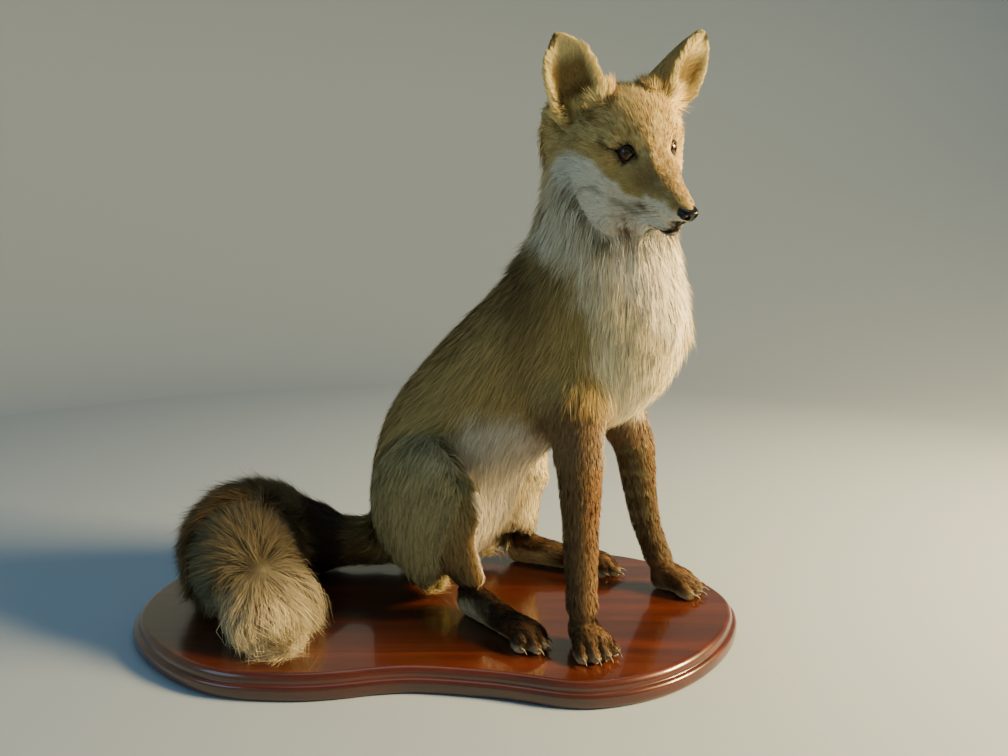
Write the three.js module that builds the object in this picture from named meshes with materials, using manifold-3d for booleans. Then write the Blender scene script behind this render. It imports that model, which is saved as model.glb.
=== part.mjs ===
// A mounted red fox that sits upright on a kidney-shaped wooden plaque, head turned to its right and
// brush curled round behind it. Millimetres, +Z up; the origin is the middle of the plaque's underside.
// Each solid reaches out to the tips of the coat.
import * as THREE from "three";
import Module from "manifold-3d";

const wasm = await Module();
wasm.setup();

// ---- driving dimensions ----
const GAP = 0.3; // clearance between neighbouring solids
const PLAQUE = { thick: 22, roundness: 3 }; // roundness: points per outline station
const OUTLINE = [
  [319, 2], [290, -72], [226, -136], [146, -162], [64, -146], [-16, -137], [-106, -150], [-196, -139],
  [-272, -86], [-314, -20], [-314, 60], [-278, 126], [-186, 157], [-16, 160], [154, 158], [252, 122],
  [304, 60],
]; // widest edge of the kidney shape, starting at the right
const EDGE = [[3, 0], [0, 3], [1, 9], [5, 14], [9.5, 20.5], [13, PLAQUE.thick]]; // [inset, height]
const FOX = { x: 53, y: 49, heading: -28 }; // where the midline crosses between the heels
const HEAD = { at: [168, -20, 460], yaw: -40, pitch: 23.9, roll: 9 };
const EYE = { x: 20, y: 19.5, z: 7.5, r: 8.5, opening: { ahead: 10, out: 7.5, radii: [10, 10, 8] } };
const EAR = { at: [-24, 45, 32], root: 14, halfWidth: 25, cup: 29, wall: 8 };
const EAR_POSE = {
  left: { height: 66, lean: 17, back: 4, out: 24, fur: 33 },
  right: { height: 71, lean: 18, back: 14, out: 12, fur: 14 },
}; // degrees; fur is the depth of hair behind the inner edge at the root
const SIDES = { left: 1, right: -1 };
const TOES = [-1.5, -0.5, 0.5, 1.5];
const DOME = [0.6, 1.15]; // angles of the rings that round off an end

const deg = THREE.MathUtils.degToRad;
const vec = (p) => new THREE.Vector3(...p);

// ---- making solids ----

// Closed skin over rings of points that all hold the same number; each end is closed to its own middle point.
function ringSkin(rings) {
  const sides = rings[0].length;
  const points = rings.flat();
  const index = [];
  for (let r = 0; r < rings.length - 1; r++)
    for (let s = 0; s < sides; s++) {
      const a = r * sides + s;
      const b = r * sides + ((s + 1) % sides);
      index.push(a, b, b + sides, a, b + sides, a + sides);
    }
  for (const [ring, first, turn] of [[rings[0], 0, 1], [rings.at(-1), (rings.length - 1) * sides, -1]]) {
    const middle = ring.reduce((sum, p) => sum.add(p), new THREE.Vector3()).divideScalar(sides);
    points.push(middle);
    for (let s = 0; s < sides; s++) {
      const a = first + s;
      const b = first + ((s + 1) % sides);
      index.push(points.length - 1, ...(turn > 0 ? [b, a] : [a, b]));
    }
  }
  return geometryOf(points, index);
}

function geometryOf(points, index) {
  return new THREE.BufferGeometry().setFromPoints(points).setIndex(index);
}

// Body form along a smooth line. A station is [x, y, z, side, up, down]: its middle, its half width along
// `across`, and its half heights on the dorsal (or front) and ventral (or rear) sides. Both ends are domed,
// by a ring at each angle in `round`.
function form(stations, options = {}) {
  const { sides = 14, steps = 1, across = [0, 1, 0], dome = 0.55, round = DOME, grow = 0 } = options;
  const line = new THREE.CatmullRomCurve3(stations.map((s) => vec(s.slice(0, 3))), false, "catmullrom", 0.5);
  const sizes = new THREE.CatmullRomCurve3(stations.map((s) => vec(s.slice(3))), false, "catmullrom", 0.5);
  const count = (stations.length - 1) * steps;
  const ringAt = (t, scale, shift) => {
    const along = line.getTangent(t).normalize();
    const lateral = vec(across).addScaledVector(along, -vec(across).dot(along)).normalize();
    const dorsal = new THREE.Vector3().crossVectors(along, lateral);
    const middle = line.getPoint(t).addScaledVector(along, shift);
    const size = sizes.getPoint(t).addScalar(grow).multiplyScalar(scale);
    return Array.from({ length: sides }, (_, i) => {
      const angle = (2 * Math.PI * (i + 0.5)) / sides;
      const s = Math.sin(angle);
      const high = (s > 0 ? size.y : size.z) * s;
      return middle.clone().addScaledVector(lateral, size.x * Math.cos(angle)).addScaledVector(dorsal, high);
    });
  };
  const domeAt = (t, way) => {
    const size = sizes.getPoint(t);
    const deep = (dome * (size.x + size.y + size.z)) / 3;
    return round.map((a) => ringAt(t, Math.cos(a), way * (deep + grow) * Math.sin(a)));
  };
  const middle = Array.from({ length: count + 1 }, (_, i) => ringAt(i / count, 1, 0));
  return ringSkin([...domeAt(0, -1).reverse(), ...middle, ...domeAt(1, 1)]);
}

function solid(geometry) {
  const vertProperties = geometry.attributes.position.array;
  const triVerts = new Uint32Array(geometry.index.array);
  const made = new wasm.Manifold(new wasm.Mesh({ numProp: 3, vertProperties, triVerts }));
  return made.volume() < 0 ? solid(flipped(geometry)) : made;
}

function flipped(geometry) {
  const index = Array.from(geometry.index.array);
  for (let i = 0; i < index.length; i += 3) [index[i], index[i + 1]] = [index[i + 1], index[i]];
  return geometry.clone().setIndex(index);
}

function shell(made) {
  const { numProp, vertProperties, triVerts } = made.getMesh();
  const position = new THREE.BufferAttribute(Float32Array.from(vertProperties), numProp);
  return new THREE.BufferGeometry().setAttribute("position", position).setIndex([...triVerts]);
}

const body = (stations, options) => solid(form(stations, options));
const join = (...solids) => solids.reduce((a, b) => a.add(b));
const cut = (from, ...solids) => solids.reduce((a, b) => a.subtract(b), from);

// Ellipsoid with half sizes rx, ry and rz.
function ball([x, y, z], [rx, ry, rz]) {
  const half = 0.1 * rx;
  const stations = [x - half, x + half].map((at) => [at, y, z, ry, rz, rz]);
  return body(stations, { sides: 8, dome: (2.7 * rx) / (ry + 2 * rz), round: [0.5, 1] });
}

const mirrored = (stations) => stations.map(([x, y, ...rest]) => [x, -y, ...rest]);

// ---- materials ----
const finish = (color, roughness = 0.85) => new THREE.MeshStandardMaterial({ color, roughness });
const coat = {
  tawny: finish("#b58a4e"),
  cream: finish("#e2d3ab"),
  dark: finish("#3c2a1e"),
  brush: finish("#8f7350"),
  leg: finish("#5f4526"),
};
const hard = {
  glass: finish("#2a160c", 0.05),
  nose: finish("#15110f", 0.35),
  claw: finish("#cfc4ac", 0.4),
  wood: finish("#6b2c14", 0.15),
};

// ---- trunk and neck ----
const trunkStations = [
  [-93, 0, 42, 55, 52, 70],
  [-82, 0, 98, 66, 63, 100],
  [-56, 0, 155, 67, 76, 96],
  [-10, 0, 205, 63, 79, 84],
  [40, 0, 246, 62, 84, 88],
  [88, 0, 284, 65, 87, 108],
  [124, 0, 326, 62, 84, 106],
  [142, 0, 368, 54, 78, 72],
];
const neckStations = [
  [118, 0, 335, 50, 66, 70],
  [134, 0, 376, 54, 76, 74],
  [142, -2, 410, 54, 72, 62],
  [144, -6, 442, 50, 64, 50],
  [144, -6, 464, 42, 46, 40],
  [146, -8, 482, 32, 30, 30],
];
const trunkForm = { sides: 14, steps: 2, dome: 0.6 };
const trunk = body(trunkStations, trunkForm);
const neck = body(neckStations, { sides: 12, dome: 0.4, round: [0.8] });

// ---- legs: stations run down each limb, `up` is its front ----
const foreRight = [
  [112, -44, 250, 28, 40, 40],
  [128, -52, 205, 25, 30, 32],
  [135, -60, 165, 20, 23, 24],
  [139, -67, 120, 17, 19, 19],
  [143, -74, 75, 15, 17, 17],
  [147, -79, 34, 15, 15, 15],
];
const foreLeft = [
  [112, 42, 250, 28, 40, 40],
  [136, 50, 205, 25, 28, 32],
  [150, 57, 165, 20, 22, 24],
  [153, 64, 120, 17, 19, 19],
  [160, 72, 75, 15, 16, 17],
  [174, 79, 34, 15, 15, 15],
];
const thighRight = [
  [-80, -40, 74, 38, 54, 64],
  [-58, -58, 88, 41, 78, 86],
  [-30, -72, 100, 40, 88, 98],
  [-4, -80, 108, 32, 91, 68],
  [18, -85, 116, 22, 80, 28],
];
const thighLeft = mirrored(thighRight).map(([x, y, ...rest]) => [x, y - 9, ...rest]);
const shankRight = [
  [2, -90, 142, 20, 28, 34],
  [5, -91, 110, 17, 26, 32],
  [16, -87, 72, 14, 20, 24],
  [26, -81, 42, 12, 17, 17],
];
const shankLeft = [
  [4, 82, 142, 22, 28, 34],
  [4, 83, 110, 20, 28, 32],
  [6, 80, 72, 15, 21, 24],
  [8, 76, 42, 12, 16, 17],
];

// Paw or hind foot: a sole from heel to knuckles with four toes fanned ahead of it, and their claws.
function foot({ heel, heading, length, wide, high, ankle }) {
  const ahead = [Math.cos(deg(heading)), Math.sin(deg(heading))];
  const across = [-ahead[1], ahead[0], 0];
  const at = (along, side, z) => [
    heel[0] + along * ahead[0] + side * across[0],
    heel[1] + along * ahead[1] + side * across[1],
    z,
  ];
  const sole = [
    [...at(0, 0, ankle * 0.5), wide * 0.3, ankle * 0.5, ankle * 0.5],
    [...at(length * 0.3, 0, ankle * 0.52), wide * 0.34, ankle * 0.42, ankle * 0.5],
    [...at(length - wide * 0.72, 0, high * 0.58), wide * 0.42, high * 0.5, high * 0.56],
    [...at(length - wide * 0.45, 0, high * 0.48), wide * 0.46, high * 0.42, high * 0.46],
  ];
  const reach = (n) => length * (Math.abs(n) < 1 ? 1 : 0.9);
  const r = wide * 0.155;
  const toes = TOES.map((n) => [
    [...at(reach(n) - wide * 0.4, n * wide * 0.22, r * 1.35), r, r * 1.15, r * 1.3],
    [...at(reach(n) - r, n * wide * 0.27, r * 0.98), r * 0.9, r * 0.9, r * 0.92],
  ]);
  const tip = wide * 0.052;
  const claws = TOES.map((n) => {
    const stations = [
      [...at(reach(n) - tip * 3, n * wide * 0.27, tip * 3.4), tip, tip, tip],
      [...at(reach(n) + tip * 2.6, n * wide * 0.28, tip * 1.4), tip * 0.4, tip * 0.45, tip * 0.45],
    ];
    return body(stations, { sides: 4, round: [], across });
  });
  const filled = (grow) =>
    join(
      body(sole, { across, sides: 8, round: [0.8], grow }),
      ...toes.map((t) => body(t, { across, sides: 6, round: [0.8], dome: 0.8, grow })),
    ).trimByPlane([0, 0, 1], GAP - grow);
  const space = filled(GAP);
  return { flesh: filled(0), space, claws: claws.map((claw) => cut(claw, space)) };
}
const feet = {
  front_right: foot({ heel: [143, -76], heading: -38, length: 48, wide: 44, high: 27, ankle: 34 }),
  front_left: foot({ heel: [172, 80], heading: 4, length: 52, wide: 44, high: 27, ankle: 34 }),
  hind_right: foot({ heel: [16, -73], heading: -20, length: 116, wide: 40, high: 25, ankle: 38 }),
  hind_left: foot({ heel: [-4, 74], heading: 8, length: 132, wide: 40, high: 25, ankle: 38 }),
};

// ---- tail: out from the rump and round, then back across in front of itself to the tip ----
const tailBack = [
  [-112, -12, 38, 26, 24, 26],
  [-148, -32, 37, 26, 24, 27],
  [-178, -50, 38, 31, 31, 32],
  [-204, -70, 46, 44, 39, 44],
  [-230, -94, 54, 56, 52, 54],
  [-244, -126, 58, 58, 55, 56],
];
const tailFront = [
  [-238, -114, 58, 56, 55, 56],
  [-218, -158, 58, 61, 56, 58],
  [-176, -180, 54, 56, 53, 54],
  [-140, -184, 42, 42, 42, 42],
  [-112, -180, 27, 24, 24, 26],
];
const tailFringe = [
  [-180, -184, 60, 40, 42, 42],
  [-148, -204, 37, 40, 36, 34],
  [-120, -216, 20, 32, 24, 22],
  [-100, -222, 11, 22, 12, 12],
];
const tailForm = { sides: 11, across: [0, 0, 1], dome: 0.8 };

// ---- head, in its own frame: x towards the nose, y to its left, z up ----
const skullStations = [
  [-58, 0, 2, 32, 30, 34],
  [-40, 0, 4, 45, 44, 42],
  [-18, 0, 4, 50, 47, 48],
  [6, 0, 2, 46, 42, 46],
  [24, 0, -2, 34, 31, 40],
  [38, 0, -8, 23, 23, 32],
  [56, 0, -16, 17, 15.5, 26],
  [76, 0, -21, 14.5, 12, 19],
  [90, 0, -23, 12, 10, 15],
];
const cheekStations = [
  [-60, 34, -12, 24, 30, 30],
  [-34, 38, -17, 23, 29, 29],
  [-8, 35, -19, 20, 26, 24],
  [14, 25, -20, 14, 20, 17],
  [32, 15, -23, 9, 13, 11],
];
const ruffStations = [
  [-46, 42, 36, 17, 17, 17],
  [-56, 47, 18, 23, 22, 22],
  [-60, 45, -2, 26, 25, 26],
  [-54, 34, -28, 22, 21, 24],
];
const jawStations = [
  [-8, 0, -37, 20, 11, 11],
  [20, 0, -41, 16, 11, 11],
  [48, 0, -44, 12, 8, 9],
  [78, 0, -43, 9.5, 6, 7.5],
];
const lobes = [cheekStations, ruffStations].flatMap((s) => [s, mirrored(s)]);
const skull = join(
  body(skullStations, { sides: 14, dome: 0.4, round: [0.9] }),
  ...lobes.map((s) => body(s, { sides: 7, round: [0.8] })),
);
const eyeball = (side, r) => ball([EYE.x, EYE.y * side, EYE.z], [r, r, r]);
const nosePad = (grow = 0) =>
  body(
    [
      [90, 0, -20, 9 + grow, 6.5 + grow, 8 + grow],
      [98, 0, -21, 8.5 + grow, 6.5 + grow, 8 + grow],
    ],
    { sides: 8, dome: 0.5 },
  );

// Cupped ear: crescent rings from the root to the rounded tip, opening ahead.
function ear(name, grow = 0) {
  const side = SIDES[name];
  const { height, lean, back, out, fur } = EAR_POSE[name];
  const across = 6;
  const levels = 5;
  const rings = Array.from({ length: levels + 1 }, (_, level) => {
    const t = level / levels;
    const wide = EAR.halfWidth * Math.sqrt(1 - t ** 3) * (0.86 + 0.5 * t - 0.42 * t * t) + 3 * t + grow;
    const cup = EAR.cup * (1 - 0.72 * t) + grow;
    const wall = EAR.wall * (1 - 0.35 * t) + 2 * grow;
    const at = (i, inner) => {
      const a = (i / across - 0.5) * Math.PI * 0.94;
      const swell = inner ? 0 : fur * (1 - t) * Math.max(0, Math.cos(a + 0.9 * side)) * Math.cos(a);
      const w = inner ? wide - wall * Math.abs(Math.sin(a)) : wide + swell;
      const depth = inner ? cup - wall : cup + swell;
      const up = t * (height + EAR.root) - EAR.root;
      return new THREE.Vector3(EAR.cup * 0.4 - depth * Math.cos(a), w * Math.sin(a), up);
    };
    const outer = Array.from({ length: across + 1 }, (_, i) => at(i, false));
    const inner = Array.from({ length: across + 1 }, (_, i) => at(across - i, true));
    return [...outer, ...inner];
  });
  const place = new THREE.Matrix4()
    .makeRotationFromEuler(new THREE.Euler(deg(-lean * side), deg(-back), deg(out * side), "XYZ"))
    .setPosition(EAR.at[0], EAR.at[1] * side, EAR.at[2]);
  return solid(crescentSkin(rings).applyMatrix4(place));
}

// Skin over crescent rings, whose ends are closed between the outer and the inner run of points.
function crescentSkin(rings) {
  const sides = rings[0].length;
  const index = [];
  for (let r = 0; r < rings.length - 1; r++)
    for (let s = 0; s < sides; s++) {
      const a = r * sides + s;
      const b = r * sides + ((s + 1) % sides);
      index.push(a, b, b + sides, a, b + sides, a + sides);
    }
  for (const [first, turn] of [[0, 1], [(rings.length - 1) * sides, -1]])
    for (let s = 0; s < sides / 2 - 1; s++) {
      const quad = [first + s, first + s + 1, first + sides - 2 - s, first + sides - 1 - s];
      const [a, b, c, d] = turn > 0 ? quad.reverse() : quad;
      index.push(a, b, c, a, c, d);
    }
  return geometryOf(rings.flat(), index);
}

const headPlace = new THREE.Matrix4()
  .makeRotationFromEuler(new THREE.Euler(deg(HEAD.roll), deg(HEAD.pitch), deg(HEAD.yaw), "ZYX"))
  .setPosition(...HEAD.at);
const toFox = (made) => solid(shell(made).applyMatrix4(headPlace));
const toHead = (made) => solid(shell(made).applyMatrix4(headPlace.clone().invert()));

// ---- plaque ----
function plaque() {
  const corners = OUTLINE.map(([x, y]) => new THREE.Vector3(x, y, 0));
  const line = new THREE.CatmullRomCurve3(corners, true, "centripetal");
  const count = OUTLINE.length * PLAQUE.roundness;
  const up = new THREE.Vector3(0, 0, 1);
  const ring = ([inset, z]) =>
    Array.from({ length: count }, (_, i) => {
      const inward = line.getTangent(i / count).cross(up).normalize();
      return line.getPoint(i / count).addScaledVector(inward, inset).setZ(z);
    });
  return ringSkin(EDGE.map(ring));
}

// ---- parting the whole animal into named pieces ----
const mount = new THREE.Group();
const fox = new THREE.Group();
fox.position.set(FOX.x, FOX.y, PLAQUE.thick);
fox.rotation.z = deg(FOX.heading);
const head = new THREE.Group();
head.applyMatrix4(headPlace);
fox.add(head);
mount.add(fox);

function addPiece(group, name, material, made) {
  const mesh = new THREE.Mesh(shell(made), material);
  mesh.name = name;
  group.add(mesh);
}

// Parts a solid at a plane: what lies beyond it along `normal`, then what is left behind, a gap apart.
function part(made, at, normal) {
  const n = vec(normal).normalize();
  const reach = n.dot(vec(at));
  return [
    made.trimByPlane(n.toArray(), reach + GAP / 2),
    made.trimByPlane(n.clone().negate().toArray(), -reach + GAP / 2),
  ];
}

// Where the animal is parted: heights of the level cuts, and [point, normal] of the slanting ones.
const CUT = {
  elbow: 178,
  wrist: 42,
  hock: 46,
  shin: [0.93, 0, -0.37],
  tailRoot: [[-156, -37, 48], [-0.84, -0.54, 0]],
  tailBand: [[-196, -63, 52], [-0.72, -0.69, 0]],
  tailTip: [[-206, -150, 92], [0.4, -0.5, -0.77]],
  neckBase: [[120, 0, 345], [0.35, 0, 0.94]],
  headBase: [[134, -6, 438], [0.78, -0.35, 0.52]],
};

const aboveBase = (made) => made.trimByPlane([0, 0, 1], GAP);

// Forelegs: the upper arm stays with the trunk, the forearm and the paw are pieces of their own.
const shoulders = [];
for (const [side, stations] of [["right", foreRight], ["left", foreLeft]]) {
  const leg = join(body(stations, { sides: 10, round: [0.8] }), feet[`front_${side}`].flesh);
  const [upper, below] = part(leg, [0, 0, CUT.elbow], [0, 0, 1]);
  const [forearm, paw] = part(below, [0, 0, CUT.wrist], [0, 0, 1]);
  shoulders.push(upper);
  addPiece(fox, `forearm_${side}`, coat.leg, forearm);
  addPiece(fox, `paw_front_${side}`, coat.dark, paw);
}

// Hind legs: thigh and shank are one form, parted by a plane that slants behind the shin.
const thighForm = { sides: 12, round: [0.8] };
const shankForm = { sides: 10, round: [0.8] };
const midCut = 20; // the thighs stop this far short of the midplane
const legSpace = [];
for (const [side, thigh, shank] of [["right", thighRight, shankRight], ["left", thighLeft, shankLeft]]) {
  const { flesh, space } = feet[`hind_${side}`];
  const [shankAbove] = part(body(shank, shankForm), [0, 0, CUT.hock], [0, 0, 1]);
  const [, heelBelow] = part(join(body(shank, shankForm), flesh), [0, 0, CUT.hock], [0, 0, 1]);
  const inside = [0, Math.sign(thigh[0][1]), 0];
  const upper = aboveBase(join(body(thigh, thighForm), shankAbove)).trimByPlane(inside, midCut);
  const [shankPiece, thighPiece] = part(upper, [shank[1][0] - 4, 0, 70], CUT.shin);
  const shankSpace = body(shank, { ...shankForm, grow: GAP });
  const [, ankleSpace] = part(shankSpace, [0, 0, CUT.hock + GAP], [0, 0, 1]);
  const thighSpace = body(thigh, { ...thighForm, grow: GAP }).trimByPlane(inside, midCut - GAP);
  legSpace.push(thighSpace, shankSpace, space);
  addPiece(fox, `thigh_${side}`, coat.tawny, cut(thighPiece, space, ankleSpace));
  const [shin] = part(cut(shankPiece, space), [0, 0, CUT.hock], [0, 0, 1]);
  addPiece(fox, `shank_${side}`, coat.tawny, shin);
  addPiece(fox, `foot_hind_${side}`, coat.dark, heelBelow);
}

for (const [where, { claws }] of Object.entries(feet))
  claws.forEach((claw, i) => addPiece(fox, `claw_${where}_${i + 1}`, hard.claw, claw));

// Tail, in four lengths: the way out is parted twice, the rest once behind the tip.
const [tailBeyond, tailRoot] = part(aboveBase(body(tailBack, tailForm)), ...CUT.tailRoot);
const [tailEnd, tailMiddle] = part(tailBeyond, ...CUT.tailBand);
const curl = aboveBase(join(tailEnd, body(tailFront, tailForm), body(tailFringe, { sides: 8 })));
const [tailTip, tailBrush] = part(curl, ...CUT.tailTip);
addPiece(fox, "tail_middle", coat.dark, tailMiddle);
addPiece(fox, "tail_brush", coat.brush, tailBrush);
addPiece(fox, "tail_tip", coat.cream, tailTip);

// Trunk, neck and head, parted by two slanting planes.
const core = aboveBase(join(trunk, neck, toFox(skull), ...shoulders));
const [front, trunkPart] = part(core, ...CUT.neckBase);
const [headPart, neckPart] = part(front, ...CUT.headBase);
const trunkSpace = body(trunkStations, { ...trunkForm, grow: GAP });
addPiece(fox, "trunk", coat.tawny, cut(trunkPart, ...legSpace));
addPiece(fox, "tail_root", coat.brush, cut(tailRoot, trunkSpace, ...legSpace));
const jaw = (grow) => body(jawStations, { sides: 8, dome: 0.5, grow });
addPiece(fox, "neck", coat.cream, cut(neckPart, toFox(jaw(GAP))));

const hollows = Object.keys(SIDES).flatMap((name) => [eyeball(SIDES[name], EYE.r + GAP), ear(name, GAP)]);
const lids = Object.values(SIDES).map((s) =>
  ball([EYE.x + EYE.opening.ahead, (EYE.y + EYE.opening.out) * s, EYE.z], EYE.opening.radii),
);
addPiece(head, "head", coat.tawny, cut(toHead(headPart), ...hollows, ...lids, nosePad(GAP), jaw(GAP)));
addPiece(head, "lower_jaw", coat.cream, jaw(0));
addPiece(head, "nose", hard.nose, nosePad());
for (const [name, s] of Object.entries(SIDES)) {
  addPiece(head, `ear_${name}`, coat.cream, ear(name));
  addPiece(head, `eye_${name}`, hard.glass, eyeball(s, EYE.r));
}

addPiece(mount, "stand_base", hard.wood, solid(plaque()));

export default mount;
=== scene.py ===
import math

import bmesh
import bpy
import numpy as np
from mathutils import Matrix, Vector, kdtree
from mathutils.bvhtree import BVHTree


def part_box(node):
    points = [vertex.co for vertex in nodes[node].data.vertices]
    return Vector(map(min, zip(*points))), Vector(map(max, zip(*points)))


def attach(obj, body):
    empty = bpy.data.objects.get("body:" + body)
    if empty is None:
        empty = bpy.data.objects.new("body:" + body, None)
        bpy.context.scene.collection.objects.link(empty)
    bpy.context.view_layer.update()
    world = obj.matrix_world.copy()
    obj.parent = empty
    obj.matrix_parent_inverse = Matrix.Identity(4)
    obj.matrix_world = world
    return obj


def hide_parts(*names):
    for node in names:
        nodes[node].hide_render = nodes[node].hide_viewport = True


# A mounted red fox on its varnished plaque. One skin lies inside the flesh solids, the coat is tufts of
# thin blades rooted on it, and skin and coat take their markings from the same function.

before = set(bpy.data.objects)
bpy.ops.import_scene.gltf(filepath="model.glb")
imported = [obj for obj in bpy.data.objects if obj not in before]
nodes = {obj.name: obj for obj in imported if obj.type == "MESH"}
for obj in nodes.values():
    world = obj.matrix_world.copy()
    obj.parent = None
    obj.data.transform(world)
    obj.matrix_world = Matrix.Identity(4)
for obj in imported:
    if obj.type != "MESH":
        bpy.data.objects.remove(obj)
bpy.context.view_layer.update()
scene = bpy.context.scene
mm = 0.001
print("frame loaded")

# camera
cameraSet = {"at": (0.0718, -0.7825, 0.392), "pitchDown": 9.2, "lens": 27.857, "sensor": 36.0}

cameraData = bpy.data.cameras.new("camera")
cameraData.lens = cameraSet["lens"]
cameraData.sensor_width = cameraSet["sensor"]
cameraData.clip_start = 0.01
camera = bpy.data.objects.new("camera", cameraData)
camera.location = cameraSet["at"]
camera.rotation_euler = (math.radians(90 - cameraSet["pitchDown"]), 0, 0)
scene.collection.objects.link(camera)
scene.camera = camera


# small helpers
def hexToLinear(code, alpha=1.0):
    parts = [int(code[i:i + 2], 16) / 255 for i in (1, 3, 5)]
    return (*[c / 12.92 if c <= 0.04045 else ((c + 0.055) / 1.055) ** 2.4 for c in parts], alpha)


def addNode(tree, kind, settings=None, inputs=None, links=None):
    node = tree.nodes.new(kind)
    for name, value in (settings or {}).items():
        setattr(node, name, value)
    for name, value in (inputs or {}).items():
        node.inputs[name].default_value = value
    for name, socket in (links or {}).items():
        tree.links.new(socket, node.inputs[name])
    return node


def newMaterial(name, **surface):
    material = bpy.data.materials.new(name)
    material.use_nodes = True
    tree = material.node_tree
    tree.nodes.clear()
    shader = addNode(tree, "ShaderNodeBsdfPrincipled", inputs=surface)
    addNode(tree, "ShaderNodeOutputMaterial", links={"Surface": shader.outputs["BSDF"]})
    return material, tree, shader


def setRamp(node, stops):
    ramp = node.color_ramp
    while len(ramp.elements) < len(stops):
        ramp.elements.new(0.5)
    for element, (place, code) in zip(ramp.elements, stops):
        element.position = place
        element.color = hexToLinear(code)
    return node


def smoothStep(low, high, value):
    t = np.clip((value - low) / (high - low), 0, 1)
    return t * t * (3 - 2 * t)


def fade(low, high, value):
    return 1 - smoothStep(low, high, value)


def spot(*parts):
    # soft spot: each part is a coordinate, its middle and its width
    return np.exp(-sum(((value - middle) / width) ** 2 for value, middle, width in parts))


def unit(vectors):
    return vectors / np.maximum(np.linalg.norm(vectors, axis=-1, keepdims=True), 1e-12)


def dots(a, b):
    return np.einsum("ij,ij->i", a, b)


def newObject(name, points, faces, material):
    mesh = bpy.data.meshes.new(name)
    mesh.from_pydata([tuple(p) for p in points], [], faces)
    mesh.validate()
    mesh.polygons.foreach_set("use_smooth", [True] * len(mesh.polygons))
    mesh.materials.append(material)
    made = bpy.data.objects.new(name, mesh)
    scene.collection.objects.link(made)
    return made


def bands(rings, around, closed=False):
    # faces between rings of points, each ring joined to the next one
    faces = []
    for i in range(rings if closed else rings - 1):
        for j in range(around):
            k, after = (j + 1) % around, (i + 1) % rings
            faces.append((i * around + j, i * around + k, after * around + k, after * around + j))
    return faces


def softNoise(points, size, seed):
    # smooth wandering value from -1 to 1, made of slanted waves about `size` long
    draw = np.random.default_rng(seed)
    total = np.zeros(len(points))
    for _ in range(7):
        way = unit(draw.normal(size=(1, 3)))[0] * draw.uniform(0.6, 1.7)
        total += np.sin(points @ way * (2 * math.pi / size) + draw.uniform(0, 6.28))
    return total / 3.6


# frames of the animal
foxSet = {
    "at": (0.053, 0.049), "heading": -28,
    "headAt": (168, -20, 460), "headYaw": -40, "headPitch": 23.9, "headRoll": 9,
}

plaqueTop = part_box("stand_base")[1].z


def turn(degrees, axis):
    return Matrix.Rotation(math.radians(degrees), 4, axis)


foxPlace = Matrix.Translation((*foxSet["at"], plaqueTop)) @ turn(foxSet["heading"], "Z") @ Matrix.Scale(mm, 4)
headTurn = turn(foxSet["headYaw"], "Z") @ turn(foxSet["headPitch"], "Y") @ turn(foxSet["headRoll"], "X")
headPlace = foxPlace @ Matrix.Translation(foxSet["headAt"]) @ headTurn


def intoFrame(place, points):
    m = np.array(place.inverted())
    return points @ m[:3, :3].T + m[:3, 3]


def fromFrame(place, points):
    m = np.array(place)
    return np.asarray(points, float) @ m[:3, :3].T + m[:3, 3]


def turned(place, vectors):
    # directions from a frame into the world
    return unit(np.asarray(vectors, float) @ np.array(place)[:3, :3].T)


# middle lines in millimetres, each run the way its hair lies
lines = {
    "trunk": [
        (142, 0, 368), (88, 0, 284), (40, 0, 246), (-10, 0, 205), (-56, 0, 155), (-82, 0, 98), (-93, 0, 42),
    ],
    "neck": [(146, -8, 482), (144, -6, 442), (142, -2, 410), (134, 0, 376), (118, 0, 335)],
    "thigh_right": [(-10, -76, 190), (-24, -74, 110), (-30, -70, 10)],
    "shank_right": [(4, -91, 142), (16, -87, 72), (26, -81, 30)],
    "forearm_right": [(128, -52, 205), (139, -67, 120), (147, -79, 30)],
    "paw_front_right": [(143, -76, 40), (160, -90, 16), (182, -107, 10)],
    "foot_hind_right": [(16, -73, 40), (60, -90, 20), (126, -112, 8)],
    "thigh_left": [(-10, 67, 190), (-24, 65, 110), (-30, 61, 10)],
    "shank_left": [(4, 83, 142), (6, 80, 72), (8, 76, 30)],
    "forearm_left": [(136, 50, 205), (153, 64, 120), (174, 79, 30)],
    "paw_front_left": [(172, 80, 40), (200, 82, 16), (226, 84, 10)],
    "foot_hind_left": [(-4, 74, 40), (50, 82, 20), (128, 92, 8)],
    "tail": [
        (-112, -12, 38), (-148, -32, 37), (-178, -50, 38), (-204, -70, 46), (-230, -94, 54), (-240, -130, 58),
        (-218, -158, 58), (-176, -180, 54), (-140, -184, 42), (-112, -180, 27),
    ],
    "head": [(100, 0, -20), (40, 0, -8), (0, 0, 2), (-60, 0, 0)],
}


def lineOf(label):
    return "tail" if label.startswith("tail") else "head" if label in ("head", "lower_jaw") else label


def alongLine(points, line):
    # direction of the line near each point, share of its length, and the point's offset from it
    knots = np.array(line, float)
    steps = np.diff(knots, axis=0)
    lengths = np.linalg.norm(steps, axis=1)
    runs = np.concatenate([[0], np.cumsum(lengths)])
    direction = np.zeros_like(points)
    nearest = np.full(len(points), 1e18)
    share = np.zeros(len(points))
    offset = np.zeros_like(points)
    for i, step in enumerate(steps):
        t = np.clip((points - knots[i]) @ step / lengths[i] ** 2, 0, 1)
        away = points - knots[i] - t[:, None] * step
        gap = dots(away, away)
        direction += (1 / (gap + 30) ** 2)[:, None] * step / lengths[i]
        closer = gap < nearest
        nearest = np.where(closer, gap, nearest)
        share = np.where(closer, (runs[i] + t * lengths[i]) / runs[-1], share)
        offset = np.where(closer[:, None], away, offset)
    return unit(direction), share, offset


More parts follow.
